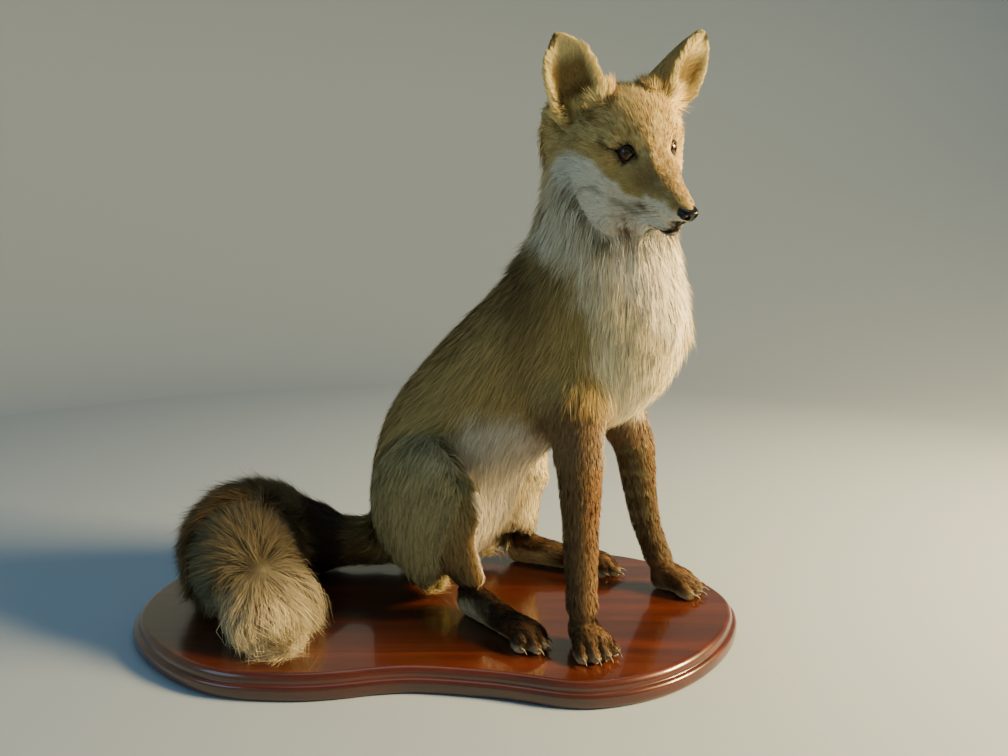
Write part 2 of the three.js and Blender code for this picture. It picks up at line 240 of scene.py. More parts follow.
earSet = {
    "ear_left": dict(at=(-24, 45, 32), height=66, lean=17, back=4, out=24, side=1, hollowFrom=0.26),
    "ear_right": dict(at=(-24, -45, 32), height=71, lean=18, back=14, out=12, side=-1, hollowFrom=0.1),
}


def earPlace(name):
    e = earSet[name]
    tilt = turn(-e["lean"] * e["side"], "X") @ turn(-e["back"], "Y") @ turn(e["out"] * e["side"], "Z")
    return headPlace @ Matrix.Translation(e["at"]) @ tilt


earPlaces = {name: earPlace(name) for name in earSet}


# skin: all the flesh solids as one closed form
skinSet = {"voxel": 2.6, "weld": 0.55, "faceRefine": 6.0}
eyeSet = {
    "x": 19.4, "y": 19.2, "z": 7.4, "radius": 9.3, "turn": 37,
    "halfWide": 8.3, "halfHigh": 6.1, "narrowing": 0.62, "cornea": 0.045,
}
eyeFronts = [np.array([26.5, 24.75 * s, 8.0]) for s in (1, -1)]

# each region's coat in millimetres: depth to the tips, blade length and width, then tufts per area,
# how far the tips stand off, and rounds of smoothing of the skin
regions = {
    "head": dict(depth=5, length=20, width=0.6, amount=2.2, lift=0.12, rounds=7),
    "lower_jaw": dict(depth=0.6, length=6, width=0.4, amount=3.4, lift=0.08, rounds=2),
    "ear_left": dict(depth=0.8, length=7, width=0.42, amount=2.6, lift=0.1, rounds=3),
    "ear_right": dict(depth=0.8, length=7, width=0.42, amount=2.6, lift=0.1, rounds=3),
    "neck": dict(depth=11, length=40, width=0.75, amount=1.2, lift=0.19, rounds=50),
    "trunk": dict(depth=10, length=33, width=0.75, amount=1.0, lift=0.06, rounds=60),
    "thigh_left": dict(depth=8, length=25, width=0.7, amount=1.1, lift=0.06, rounds=40),
    "thigh_right": dict(depth=8, length=25, width=0.7, amount=1.1, lift=0.06, rounds=40),
    "shank_left": dict(depth=3.4, length=13, width=0.55, amount=1.8, lift=0.08, rounds=14),
    "shank_right": dict(depth=3.4, length=13, width=0.55, amount=1.8, lift=0.08, rounds=14),
    "forearm_left": dict(depth=3.0, length=11, width=0.5, amount=1.9, lift=0.08, rounds=14),
    "forearm_right": dict(depth=3.0, length=11, width=0.5, amount=1.9, lift=0.08, rounds=14),
    "paw_front_left": dict(depth=1.6, length=6, width=0.42, amount=2.6, lift=0.1, rounds=3),
    "paw_front_right": dict(depth=1.6, length=6, width=0.42, amount=2.6, lift=0.1, rounds=3),
    "foot_hind_left": dict(depth=1.8, length=7, width=0.45, amount=2.4, lift=0.1, rounds=3),
    "foot_hind_right": dict(depth=1.8, length=7, width=0.45, amount=2.4, lift=0.1, rounds=3),
    "tail_root": dict(depth=8, length=30, width=0.75, amount=1.1, lift=0.12, rounds=30),
    "tail_middle": dict(depth=11, length=38, width=0.75, amount=1.1, lift=0.2, rounds=30),
    "tail_brush": dict(depth=17, length=46, width=0.7, amount=1.1, lift=0.26, rounds=40),
    "tail_tip": dict(depth=17, length=50, width=0.65, amount=1.2, lift=0.2, rounds=40),
}
labels = sorted(regions)
labelAt = {name: i for i, name in enumerate(labels)}


def isLabel(ids, *starts):
    chosen = [i for name, i in labelAt.items() if name.startswith(starts)]
    return np.isin(ids, chosen)


def regionValue(ids, key):
    return np.array([regions[name][key] for name in labels], float)[ids]


def fleshTree():
    points, faces, owner = [], [], []
    for name in labels:
        mesh = nodes[name].data
        first = len(points)
        points += [v.co.copy() for v in mesh.vertices]
        mesh.calc_loop_triangles()
        for triangle in mesh.loop_triangles:
            faces.append([first + i for i in triangle.vertices])
            owner.append(labelAt[name])
    return BVHTree.FromPolygons(points, faces), owner


def weldedFlesh():
    merged = bmesh.new()
    for name in [*labels, "eye_left", "eye_right", "nose"]:
        part = bmesh.new()
        part.from_mesh(nodes[name].data)
        bmesh.ops.remove_doubles(part, verts=part.verts, dist=1e-6)
        part.normal_update()
        for v in part.verts:
            v.co += v.normal * skinSet["weld"] * mm
        swollen = bpy.data.meshes.new("part")
        part.to_mesh(swollen)
        merged.from_mesh(swollen)
        part.free()
        bpy.data.meshes.remove(swollen)
    mesh = bpy.data.meshes.new("welded")
    merged.to_mesh(mesh)
    merged.free()
    holder = bpy.data.objects.new("welded", mesh)
    scene.collection.objects.link(holder)
    remesh = holder.modifiers.new("remesh", "REMESH")
    remesh.mode = "VOXEL"
    remesh.voxel_size = skinSet["voxel"] * mm
    depsgraph = bpy.context.evaluated_depsgraph_get()
    made = bpy.data.meshes.new_from_object(holder.evaluated_get(depsgraph))
    bpy.data.objects.remove(holder)
    return made


def verticesOf(mesh):
    flat = np.empty(len(mesh.vertices) * 3)
    mesh.vertices.foreach_get("co", flat)
    return flat.reshape(-1, 3)


def edgesOf(mesh):
    flat = np.empty(len(mesh.edges) * 2, np.int32)
    mesh.edges.foreach_get("vertices", flat)
    return flat.reshape(-1, 2)


def normalsOf(mesh, points):
    mesh.vertices.foreach_set("co", points.ravel())
    mesh.update()
    flat = np.empty(len(mesh.vertices) * 3)
    mesh.vertices.foreach_get("normal", flat)
    return flat.reshape(-1, 3)


def neighbourMean(values, edges):
    ends = np.concatenate([edges[:, 0], edges[:, 1]])
    others = np.concatenate([edges[:, 1], edges[:, 0]])
    count = np.maximum(np.bincount(ends, minlength=len(values)), 1)
    if values.ndim == 1:
        return np.bincount(ends, values[others], len(values)) / count
    sums = [np.bincount(ends, values[others, c], len(values)) for c in range(values.shape[1])]
    return np.stack(sums, 1) / count[:, None]


def relax(points, edges, rounds):
    # each vertex moves to its neighbours' mean for as many rounds as it is given
    points = points.copy()
    for i in range(int(rounds.max())):
        share = np.clip(rounds - i, 0, 1)[:, None] * 0.5
        points += share * (neighbourMean(points, edges) - points)
    return points


def spreadOut(values, edges, rounds):
    for _ in range(rounds):
        values = 0.5 * values + 0.5 * neighbourMean(values, edges)
    return values


def eyeFrame(side):
    # frame at an eye: x out of the eye, y towards the outer corner, z up
    a = math.radians(eyeSet["turn"]) * side
    out = np.array([math.cos(a) * 0.996, math.sin(a) * 0.996, 0.09])
    corner = unit(np.cross([0, 0, 1], out) * side)
    corner = unit(corner + np.array([0, 0, 0.16]))  # the outer corner sits a little higher
    up = unit(np.cross(out, corner) * side)
    m = Matrix.Identity(4)
    for column, axis in enumerate((out, corner, up)):
        for row in range(3):
            m[row][column] = axis[row]
    return Matrix.Translation((eyeSet["x"], eyeSet["y"] * side, eyeSet["z"])) @ m


def lidRing(local):
    # 1 on the edge of the almond opening, less inside it; works on points in the eye's frame
    wide = local[:, 1] / eyeSet["halfWide"]
    high = eyeSet["halfHigh"] * np.clip(1 - eyeSet["narrowing"] * np.abs(wide) ** 2.2, 0.25, 1)
    return np.sqrt(wide ** 2 + (local[:, 2] / high) ** 2)


def distanceTo(points, line):
    knots = np.array(line, float)
    best = np.full(len(points), 1e9)
    for a, b in zip(knots[:-1], knots[1:]):
        t = np.clip((points - a) @ (b - a) / ((b - a) @ (b - a)), 0, 1)
        best = np.minimum(best, np.linalg.norm(points - a - t[:, None] * (b - a), axis=1))
    return best


# line of the lips on the head, all in its middle plane
mouthLine = np.array([
    (92, 0, -31.5), (89.5, 0, -34.5), (85.5, 0, -38.5), (82, 0, -42),
    (78.5, 0, -45.5), (73, 0, -46.5), (66, 0, -48), (57, 0, -49),
])


def lipGap(head):
    return distanceTo(head * (1, 0, 1), mouthLine)


def refine(mesh, chosen):
    work = bmesh.new()
    work.from_mesh(mesh)
    edges = [e for e in work.edges if chosen[e.verts[0].index] and chosen[e.verts[1].index]]
    bmesh.ops.subdivide_edges(work, edges=edges, cuts=1, use_grid_fill=True, smooth=0.0)
    bmesh.ops.triangulate(work, faces=[f for f in work.faces if len(f.verts) > 4])
    work.to_mesh(mesh)
    work.free()


feet = {  # each foot, and the foot's name in those of its claws
    "paw_front_right": "front_right", "paw_front_left": "front_left",
    "foot_hind_right": "hind_right", "foot_hind_left": "hind_left",
}
toeSet = {"reach": 30, "deep": 3.6, "wide": 1.8, "back": 22, "ahead": 3, "instep": 0.24}
tree, owner = fleshTree()


def labelled(points):
    ids = np.empty(len(points), np.int32)
    for i, p in enumerate(points):
        ids[i] = owner[tree.find_nearest(p)[2]]
    return ids


skinMesh = weldedFlesh()
print("welded skin", len(skinMesh.vertices))
points = verticesOf(skinMesh)
ids = labelled(points)
edges = edgesOf(skinMesh)
rounds = spreadOut(regionValue(ids, "rounds"), edges, 12)
inHead = intoFrame(headPlace, points)
nearHead = isLabel(ids, "head", "lower_jaw")
rounds = np.where(nearHead & (inHead[:, 0] > 0), 5, rounds)
points = relax(points, edges, rounds)
skinMesh.vertices.foreach_set("co", points.ravel())

# finer mesh where the face needs it
inHead = intoFrame(headPlace, points)
toes = np.zeros(len(points), bool)
for name in feet:
    fromToes = np.linalg.norm(intoFrame(foxPlace, points) - np.array(lines[name][-1], float), axis=1)
    toes |= isLabel(ids, name) & (fromToes < toeSet["reach"])
refine(skinMesh, toes | (nearHead & (inHead[:, 0] > skinSet["faceRefine"])))
points = verticesOf(skinMesh)
inHead = intoFrame(headPlace, points)
eyeGap = np.min([np.linalg.norm(inHead - at, axis=1) for at in eyeFronts], 0)
ids = labelled(points)
creased = isLabel(ids, "head", "lower_jaw") & (lipGap(inHead) < 5)
refine(skinMesh, (eyeGap < 17) | creased)
points = verticesOf(skinMesh)
edges = edgesOf(skinMesh)
ids = labelled(points)
inHead = intoFrame(headPlace, points)
nearHead = isLabel(ids, "head", "lower_jaw")
points = relax(points, edges, np.where(nearHead & (inHead[:, 0] > 4), 3.0, 0.0))
print("refined skin", len(points))

# the outer foot of each ear is tucked back against the head
tuck = np.zeros_like(points)
for name, place in earPlaces.items():
    local = intoFrame(place, points)
    outward = local[:, 1] * earSet[name]["side"]
    low = fade(-10, 16, local[:, 2]) * smoothStep(2, 14, outward) * smoothStep(-12, 4, local[:, 0])
    low = low * isLabel(ids, name)
    tuck += low[:, None] * (np.array([-15, -6 * earSet[name]["side"], 4]) @ np.array(place)[:3, :3].T)
points = points + spreadOut(tuck, edges, 8)

# coat measures per vertex, eased over the borders between regions
inFox = intoFrame(foxPlace, points)
inHead = intoFrame(headPlace, points)


whorl = np.array([-136, -208, 74])  # where the hair of the curled brush parts
fallWay = np.array([0.62, -0.1, -0.78])  # and the way its long locks fall


def earCup(name, places):
    # height up the ear from 0 to 1, depth into its cup from the rims, and 1 in front of the cup's floor
    local = intoFrame(earPlaces[name], places)
    t = np.clip((local[:, 2] + 14) / (earSet[name]["height"] + 14), 0, 1)
    behind = 29 * (1 - 0.72 * t)
    floorAt = behind - 8 * (1 - 0.35 * t)
    wide = np.maximum(25 * np.sqrt(1 - t ** 3) * (0.86 + 0.5 * t - 0.42 * t * t), 3)
    bend = np.sqrt(np.clip(1 - (local[:, 1] / wide) ** 2, 0, 1))
    middle = 11.6 - (behind - 4 * (1 - 0.35 * t)) * bend
    return t, (11.6 - local[:, 0]) / floorAt, smoothStep(-1.0, 1.0, local[:, 0] - middle)


def coatMeasures(fox, head, ids):
    coat = {key: regionValue(ids, key) for key in ("depth", "length", "width", "amount", "lift")}
    coat["bunch"] = np.ones(len(ids))

    def ease(share, **wanted):
        for key, value in wanted.items():
            coat[key] = coat[key] + share * (value - coat[key])

    def on(*starts):
        return isLabel(ids, *starts)

    x, y, z = fox.T
    hx, hy, hz = head.T
    side = np.abs(hy)
    face = on("head") * 1.0
    ahead = smoothStep(-28, 52, hx)
    ease(
        face, depth=5.5 - 4.6 * ahead, length=22 - 17 * ahead, width=0.62 - 0.26 * ahead,
        amount=1.6 + 2.4 * ahead, lift=0.12,
    )
    ease(face * smoothStep(50, 62, -hz), depth=10, length=36, width=0.8, amount=1.3, lift=0.12)  # throat
    crown = smoothStep(12, 26, hz) * fade(20, 36, side) * fade(14, 34, hx)
    ease(face * crown, length=17, lift=0.42)
    cheek = smoothStep(30, 42, side) * fade(-22, 2, hx)
    ease(face * cheek, length=28, lift=0.3, depth=8)
    hindhead = fade(-64, -46, hx)
    # longer ruff that closes round the foot of each ear
    for name, place in earPlaces.items():
        local = intoFrame(place, fromFrame(headPlace, head))
        foot = np.linalg.norm(local - np.array([0, 0, -6]), axis=1)
        ease(face * fade(24, 42, foot), length=21, lift=0.55)
        lobe = np.linalg.norm(local - np.array([12, 24 * earSet[name]["side"], -10]), axis=1)
        ease(face * fade(10, 26, lobe), length=27, lift=0.75)
        inside = np.linalg.norm(local - np.array([6, -20 * earSet[name]["side"], 8]), axis=1)
        ease(face * fade(10, 24, inside), length=30, lift=0.7)
    ease(face * hindhead * fade(20, 38, side), length=20, lift=0.1)
    # short coat where the elbows leave the body, so the legs come out clean
    for name in ("forearm_right", "forearm_left"):
        _, _, away = alongLine(fox, lines[name])
        near = fade(30, 56, np.linalg.norm(away, axis=1))
        ease(on("trunk") * near * fade(222, 262, z), length=13, depth=4.5, width=0.55, amount=1.7)
    trunk = on("trunk")
    ease(trunk * smoothStep(120, 160, x) * smoothStep(236, 270, z), length=38, lift=0.13)
    ease(trunk * fade(90, 170, z) * smoothStep(-60, -30, x), length=42, lift=0.2)
    ease(trunk * fade(150, 210, z) * smoothStep(-60, -30, x) * fade(80, 104, x), length=36, lift=0.22)
    hip = fade(196, 226, z) * fade(10, 34, x) * smoothStep(40, 56, np.abs(y))
    ease(trunk * hip, length=30, lift=0.03, depth=6)
    ease(on("thigh_right") * smoothStep(-16, 6, x) * smoothStep(70, 110, z), length=15, lift=0.03)
    ease(on("thigh_right") * fade(36, 76, z), length=40, lift=0.14)
    ease(on("thigh_left") * fade(100, 160, z), length=36, lift=0.16)
    ball = on("tail_tip", "tail_brush")
    toWhorl = fox - whorl
    far = np.linalg.norm(toWhorl, axis=1)
    falling = smoothStep(0.0, 0.6, dots(unit(toWhorl), fallWay[None])) * smoothStep(6, 26, far)
    ease(ball * (1 - falling) * fade(40, 70, far), length=36, lift=0.1, width=0.5, bunch=0.3)
    ease(ball * falling, length=60, lift=0.34, width=0.5, bunch=1.3)
    ease(ball * (1 - falling) * smoothStep(50, 80, far), length=46, lift=0.45, width=0.55)
    for name, place in earPlaces.items():
        here = on(name)
        t, deep, within = earCup(name, fromFrame(headPlace, head))
        ease(here * fade(0.1, 0.35, deep), length=9.5, lift=0.3)
        ease(here * within * fade(0.16, 0.34, t), length=17, lift=0.3, amount=3.2)
        ease(here * fade(0.12, 0.34, t), length=18, lift=0.45, amount=3.2)
    nearEye = fade(9, 22, np.min([np.linalg.norm(head - at, axis=1) for at in eyeFronts], 0))
    ease(nearEye, depth=0.5, length=3.6, width=0.34, lift=0.02)
    return list(coat.values())


measures = spreadOut(np.stack(coatMeasures(inFox, inHead, ids), 1), edges, 10)
depth, length, width, amount, lift, bunch = measures.T
thighShare = spreadOut(isLabel(ids, "thigh") * 1.0, edges, 36)
haunchEdge = np.clip(4 * thighShare * (1 - thighShare), 0, 1)
haunchEdge = haunchEdge * isLabel(ids, "trunk", "thigh") * smoothStep(60, 110, inFox[:, 2])
depth = depth * (1 - 0.7 * haunchEdge)  # so that no ditch opens where the haunch meets the flank
lift = lift * (1 - 0.6 * haunchEdge)
normals = normalsOf(skinMesh, points)
resting = smoothStep(0.3, 0.8, -normals[:, 2]) * fade(4, 22, inFox[:, 2])
depth = depth * (1 - 0.8 * resting)
points = points - normals * depth[:, None] * mm
softRounds = np.where(isLabel(ids, "head", "lower_jaw", "ear", "paw", "foot"), 0.0, 4.0)
points = relax(points, edges, spreadOut(softRounds, edges, 6))


stopProfile = [(24, 26), (38, 13), (48, 5), (56, -1.5), (66, -5)]  # the nose's ridge: along the head, height
lidSet = {"gap": 0.4, "roll": 1.8, "sunk": 2.2, "lipDeep": 1.5, "lipWide": 1.3}


def toeFurrows():
    # a furrow between each two toes, from behind the claws to just ahead of them
    furrows = []
    for name, foot in feet.items():
        knots = np.array(lines[name], float)
        ahead = unit((knots[-1] - knots[0]) * (1, 1, 0))
        claws = [verticesOf(nodes[f"claw_{foot}_{i}"].data) for i in (1, 2, 3, 4)]
        claws = [intoFrame(foxPlace, claw).mean(0) for claw in claws]
        for a, b in zip(claws[:-1], claws[1:]):
            middle = (a + b) / 2
            furrows.append((middle - ahead * toeSet["back"], middle + ahead * toeSet["ahead"]))
    return furrows


def furrowDepth(fox):
    depth = np.zeros(len(fox))
    for a, b in toeFurrows():
        way = (b - a)[:2]
        t = np.clip((fox[:, :2] - a[:2]) @ way / (way @ way), 0, 1)
        gap = np.linalg.norm(fox[:, :2] - a[:2] - t[:, None] * way, axis=1)
        depth = np.maximum(depth, np.exp(-((gap / toeSet["wide"]) ** 2)) * smoothStep(0.0, 0.6, t))
    return depth * fade(20, 30, fox[:, 2])


inFox = intoFrame(foxPlace, points)
for name in ("foot_hind_right", "foot_hind_left"):  # the instep is slim
    _, share, away = alongLine(inFox, lines[name])
    slim = isLabel(ids, name) * smoothStep(0.1, 0.3, share) * fade(0.58, 0.8, share)
    slim = slim * smoothStep(-2, 6, away[:, 2])
    inFox = inFox - away * (toeSet["instep"] * spreadOut(slim, edges, 6))[:, None]
points = fromFrame(foxPlace, inFox)
furrow = furrowDepth(inFox) * isLabel(ids, "paw", "foot") * smoothStep(1, 5, inFox[:, 2])
points = points - normalsOf(skinMesh, points) * (furrow * toeSet["deep"] * mm)[:, None]

# face: lids, lips and the bed of the nose
lips = np.where(isLabel(ids, "head", "lower_jaw"), lipGap(intoFrame(headPlace, points)), 99.0)


def carveFace(points):
    local = intoFrame(headPlace, points)
    # the ridge between the eyes falls away steeply to each side, down to the eyes
    x, y, z = local.T
    wanted = np.interp(x, *zip(*stopProfile)) - 0.9 * np.maximum(np.abs(y) - 8, 0)
    over = np.maximum(z - wanted, 0) * smoothStep(29, 35, x) * fade(54, 66, x)
    local = local - np.stack([0 * x, 0 * x, 0.92 * over * (z > -14)], 1)
    for side in (1, -1):
        place = eyeFrame(side)
        radius = eyeSet["radius"]
        eye = intoFrame(place, local)
        reach = np.maximum(np.linalg.norm(eye, axis=1), 1e-6)
        angle = np.arccos(np.clip(eye[:, 0] / reach, -1, 1))
        spread = np.where(angle < 1, np.sin(angle), math.sin(1) + angle - 1)
        planar = unit(eye * (0, 1, 1)) * (radius * spread)[:, None]
        ring = lidRing(planar)
        lidLift = radius + lidSet["gap"] + lidSet["roll"] * smoothStep(1.0, 1.7, ring)
        inside = fade(0.93, 1.03, ring)
        wanted = inside * (radius - lidSet["sunk"]) + (1 - inside) * lidLift
        hold = fade(1.2, 2.1, ring) * fade(16, 28, reach)
        local = fromFrame(place, eye * ((reach + hold * (wanted - reach)) / reach)[:, None])
    pull = lidSet["lipDeep"] * spot((lips, 0, lidSet["lipWide"]))
    toAxis = np.stack([-0.3 * np.ones(len(local)), -local[:, 1], -30 - local[:, 2]], 1)
    local = local + unit(toAxis) * pull[:, None]
    return fromFrame(headPlace, local)


points = carveFace(points)
normals = normalsOf(skinMesh, points)
inFox = intoFrame(foxPlace, points)
inHead = intoFrame(headPlace, points)
print("skin shaped")


# lie of the coat
def lieOfCoat(points, normals, ids):
    fox = intoFrame(foxPlace, points)
    head = intoFrame(headPlace, points)
    lie = np.zeros_like(points)
    for name in labels:
        here = ids == labelAt[name]
        if name.startswith("ear"):
            place = earPlaces[name]
            local = intoFrame(place, points[here])
            inner = smoothStep(0, 0.5, normals[here] @ turned(place, [1, 0, 0]))
            low = fade(4, 30, local[:, 2])
            way = [0.5 * low * inner + 0.1, 0.05 * local[:, 1] * inner * (1 - low), np.ones(here.sum())]
            way = np.stack(way, 1)
            outside = fade(8, 26, local[:, 2]) * smoothStep(6, 18, local[:, 1] * earSet[name]["side"])
            way = way + outside[:, None] * np.array([-0.8, earSet[name]["side"], -0.7])
            lie[here] = turned(place, way)
        elif name in ("head", "lower_jaw"):
            h = head[here]
            away = np.sign(h[:, 1])
            cheek = smoothStep(14, 34, np.abs(h[:, 1])) * fade(-4, 22, h[:, 0])
            below = fade(-34, -10, h[:, 2])
            way = np.stack([
                -np.ones(len(h)),
                away * 0.35 * cheek,
                -0.55 * cheek * below - 0.45 * below * fade(30, 60, h[:, 0]) + 0.1,
            ], 1)
            for s in (1, -1):
                off = h - np.array([eyeSet["x"] - 2, eyeSet["y"] * s, eyeSet["z"]])
                pull = np.exp(-dots(off, off) / 15 ** 2)[:, None]
                way += 1.7 * pull * unit(off)
            throat = smoothStep(42, 56, -h[:, 2])[:, None]
            lie[here] = unit(turned(headPlace, way) * (1 - throat) + turned(foxPlace, [0.12, 0, -1]) * throat)
        elif name in ("tail_brush", "tail_tip"):
            along = alongLine(fox[here], lines["tail"])[0]
            fan = unit(fox[here] - whorl)
            near = fade(70, 120, np.linalg.norm(fox[here] - whorl, axis=1))
            falls = smoothStep(0.0, 0.5, dots(fan, fallWay[None])) * near
            way = along * (1 - near)[:, None] + fan * near[:, None] + np.array([0, 0, -0.18])
            way = unit(way) + falls[:, None] * np.array([0.5, -0.15, -0.6])
            lie[here] = turned(foxPlace, way)
        else:
            along = alongLine(fox[here], lines[lineOf(name)])[0]
            drop = {"trunk": 0.62, "neck": 0.35}.get(name, 0.0)
            way = along + np.array([0, 0, -drop])
            if name in ("trunk", "neck"):  # the bib hangs straight down
                bib = smoothStep(90, 140, fox[here][:, 0])[:, None]
                way = unit(way) * (1 - bib) + np.array([-0.05, 0, -1.0]) * bib
            lie[here] = turned(foxPlace, way)
    return lie


lie = lieOfCoat(points, normals, ids)


def layDown(lie, normals):
    return unit(lie - normals * dots(lie, normals)[:, None])


lie = layDown(lie, normals)
for _ in range(14):
    lie = layDown(0.4 * lie + 0.6 * neighbourMean(lie, edges), normals)
print("coat laid")

# markings
# the underside's pale, the brush's smoky grey and the ear hollow's brown are each laid darker than the fur's
# own tone: painted shade
coatColours = {
    "tawny": "#b7a26a", "gold": "#cdb578", "rust": "#8a5a2c", "saddle": "#75603c", "cream": "#ebe0be",
    "white": "#efe9d9", "shadedPaleUnderside": "#9f9a8f", "leg": "#7c6346", "dark": "#35241a", "black": "#1a120e",
    "brush": "#8d7654", "smokeAndShade": "#686a58", "hollowHairAndShade": "#8a764a", "earCream": "#e4d69c",
    "grey": "#8a8463", "thigh": "#a69e78",
}
palette = {name: np.array(hexToLinear(code)[:3]) for name, code in coatColours.items()}
bibEdge = [  # height, and how far ahead the bib's edge runs there
    (150, 176), (193, 160), (221, 158), (257, 148), (292, 142),
    (328, 145), (361, 129), (390, 103), (400, 88), (470, 84),
]
whiteFace = [  # along the head, and how high the white of the cheek reaches there
    (-60, -14), (-26, -9), (-8, -3), (11, -4), (24, -16),
    (38, -25), (50, -24), (60, -19), (80, -18), (95, -22),
]


def markings(points, normals, ids):
    fox = intoFrame(foxPlace, points)
    head = intoFrame(headPlace, points)
    foxNormal = normals @ np.array(foxPlace)[:3, :3] / mm
    wander = softNoise(fox, 34, 5)
    fine = softNoise(fox, 11, 6)
    colour = np.tile(palette["tawny"], (len(points), 1))

    def lay(name, amount):
        nonlocal colour
        amount = np.clip(amount, 0, 1)[:, None]
        colour = colour * (1 - amount) + palette[name] * amount

    def on(*starts):
        return isLabel(ids, *starts)

    x, y, z = fox.T
    hx, hy, hz = head.T
    side = np.abs(hy)
    body = on("trunk", "neck", "thigh")
    trunk, thigh, foot, allFeet = on("trunk"), on("thigh"), on("foot"), on("paw", "foot")
    headNeck, headToNeck = on("head", "neck"), on("head", "lower_jaw", "neck")
    nx, ny, nz = foxNormal.T
    along = alongLine(fox, lines["trunk"])[0]
    upwards = unit(np.cross(along, np.array([0, 1, 0])))
    upwards = upwards * np.sign(upwards[:, 2:3] + 1e-9)
    dorsal = dots(foxNormal, upwards)
    lay("saddle", body * 0.55 * smoothStep(0.35, 0.95, dorsal + 0.15 * fine) * (z < 400))
    lay("rust", body * 0.3 * smoothStep(0.6, 1.0, dorsal + 0.2 * wander) * (x < 60))
    lay("gold", trunk * 0.35 * smoothStep(0.1, 0.9, wander))
    lay("thigh", thigh * (0.75 + 0.25 * fine))
    shoulder = spot((x, 78, 34), (z, 350, 46))
    lay("saddle", on("trunk", "neck") * 0.85 * shoulder * smoothStep(-0.7, 0.3, nz + 0.5))
    # a darker band behind the shoulder: painted shade in the crease where the foreleg meets the body
    behind = spot((x, 84, 18), (z, 285, 60))
    lay("saddle", trunk * 0.45 * behind)
    lay("thigh", haunchEdge * 0.6)
    # belly and inner thighs: white fur laid in a darkened grey, painted shade under the body and forelegs
    under = smoothStep(-0.15, 0.35, -dorsal + 0.12 * fine + 0.08 * wander) * fade(205, 240, z)
    lay("shadedPaleUnderside", trunk * under)
    lay("white", trunk * under * 0.6 * (x < 90))
    within = smoothStep(0.15, 0.7, -ny * np.sign(y)) * smoothStep(-70, -40, x)
    lay("shadedPaleUnderside", thigh * (within * smoothStep(50, 80, z + 60 * (y > 0))))
    far = on("thigh_left", "shank_left") * (z > 24)
    lay("cream", far * 0.85 * smoothStep(-0.1, 0.5, 0.5 * nx - ny))
    lay("leg", on("thigh_right") * 0.85 * fade(34, 64, z + 5 * fine) * smoothStep(-8, 14, x))
    edge = np.interp(z, *zip(*bibEdge))
    bib = on("trunk", "neck") * smoothStep(-9, 9, x - edge + 7 * wander + 3 * fine)
    lay("cream", bib)
    lay("white", bib * smoothStep(330, 400, z + 12 * wander) * 0.7)
    bent = 0.8 * smoothStep(300, 400, z)  # the nape turns with the head
    backward = (bent * ny - nx) / np.maximum(np.hypot(nx, ny) * np.hypot(1, bent), 0.05)
    nape = smoothStep(0.5, 0.8, backward + 0.1 * fine + 0.08 * wander) * smoothStep(280, 300, z)
    lay("tawny", bib * nape)
    lay("saddle", bib * nape * 0.4)
    lay("grey", bib * 0.35 * smoothStep(0.25, 0.8, fine + 0.4 * wander) * (z > 300))
    knee = spot((x, 12, 26), (z, 176, 16))
    lay("cream", thigh * 0.5 * knee)
    for name in ("forearm_right", "forearm_left"):
        _, _, away = alongLine(fox, lines[name])
        near = fade(38, 60, np.linalg.norm(away, axis=1))
        sideOf = 1 if name.endswith("left") else -1
        outer = smoothStep(-0.3, 0.4, ny * sideOf + 0.25 * fine)
        elbow = near * outer * fade(214, 290, z + 8 * wander)
        if sideOf > 0:
            elbow = near * fade(192, 222, z + 8 * wander)
        lay("leg", trunk * elbow * 0.9)
    # hind legs
    shank = on("shank")
    litFrontEdge = np.zeros(len(points))
    for name in ("shank_right", "shank_left"):
        here = on(name)
        away = unit(alongLine(fox, lines[name])[2])
        facing = 0.78 * away[:, 0] - 0.62 * away[:, 1] * np.sign(y) + 0.05 * fine
        litFrontEdge = np.where(here, smoothStep(0.78, 0.92, facing), litFrontEdge)
    shank = shank * (y < 0)
    lay("leg", shank * 0.65 * (1 - 0.5 * smoothStep(90, 140, z)))
    lay("grey", shank * 0.35 * smoothStep(-0.2, 0.6, fine))
    lay("rust", shank * 0.2 * (1 - litFrontEdge) * fade(60, 110, z))
    # a white stripe down the front edge of the near shank: painted highlight where the light grazes it
    lay("white", shank * litFrontEdge)
    hock = on("shank", "foot")
    lay("leg", foot * smoothStep(-6, 8, x + (z - 18) + 5 * fine))
    lay("dark", foot * 0.85 * smoothStep(-0.7, 0.4, wander + 0.3) * smoothStep(-2, 12, x + (z - 18)))
    lay("black", foot * 0.55 * smoothStep(18, 34, x) * fade(88, 104, x) * smoothStep(10, 22, z))
    lay("black", hock * spot((x, 10, 13), (z, 52, 13)) * 0.8)
    lay("cream", foot * fade(14, 28, z + 5 * fine) * fade(24, 62, x) * 0.9)
    lay("rust", foot * 0.3 * smoothStep(0, 0.8, wander))
    # forelegs
    arm = on("forearm")
    lay("leg", arm)
    lay("tawny", arm * (y < 0) * 0.35 * smoothStep(150, 205, z + 8 * wander))
    # the forelegs' own dark lower part, with painted shade on the side turned back from the light
    lay("dark", arm * (0.25 + 0.35 * fade(70, 140, z)) * smoothStep(-0.4, 0.5, -nx + 0.3 * fine))
    # the far foreleg laid darker than the near one: painted shade
    lay("dark", arm * (y > 0) * (0.6 - 0.25 * smoothStep(120, 175, z + 10 * wander)))
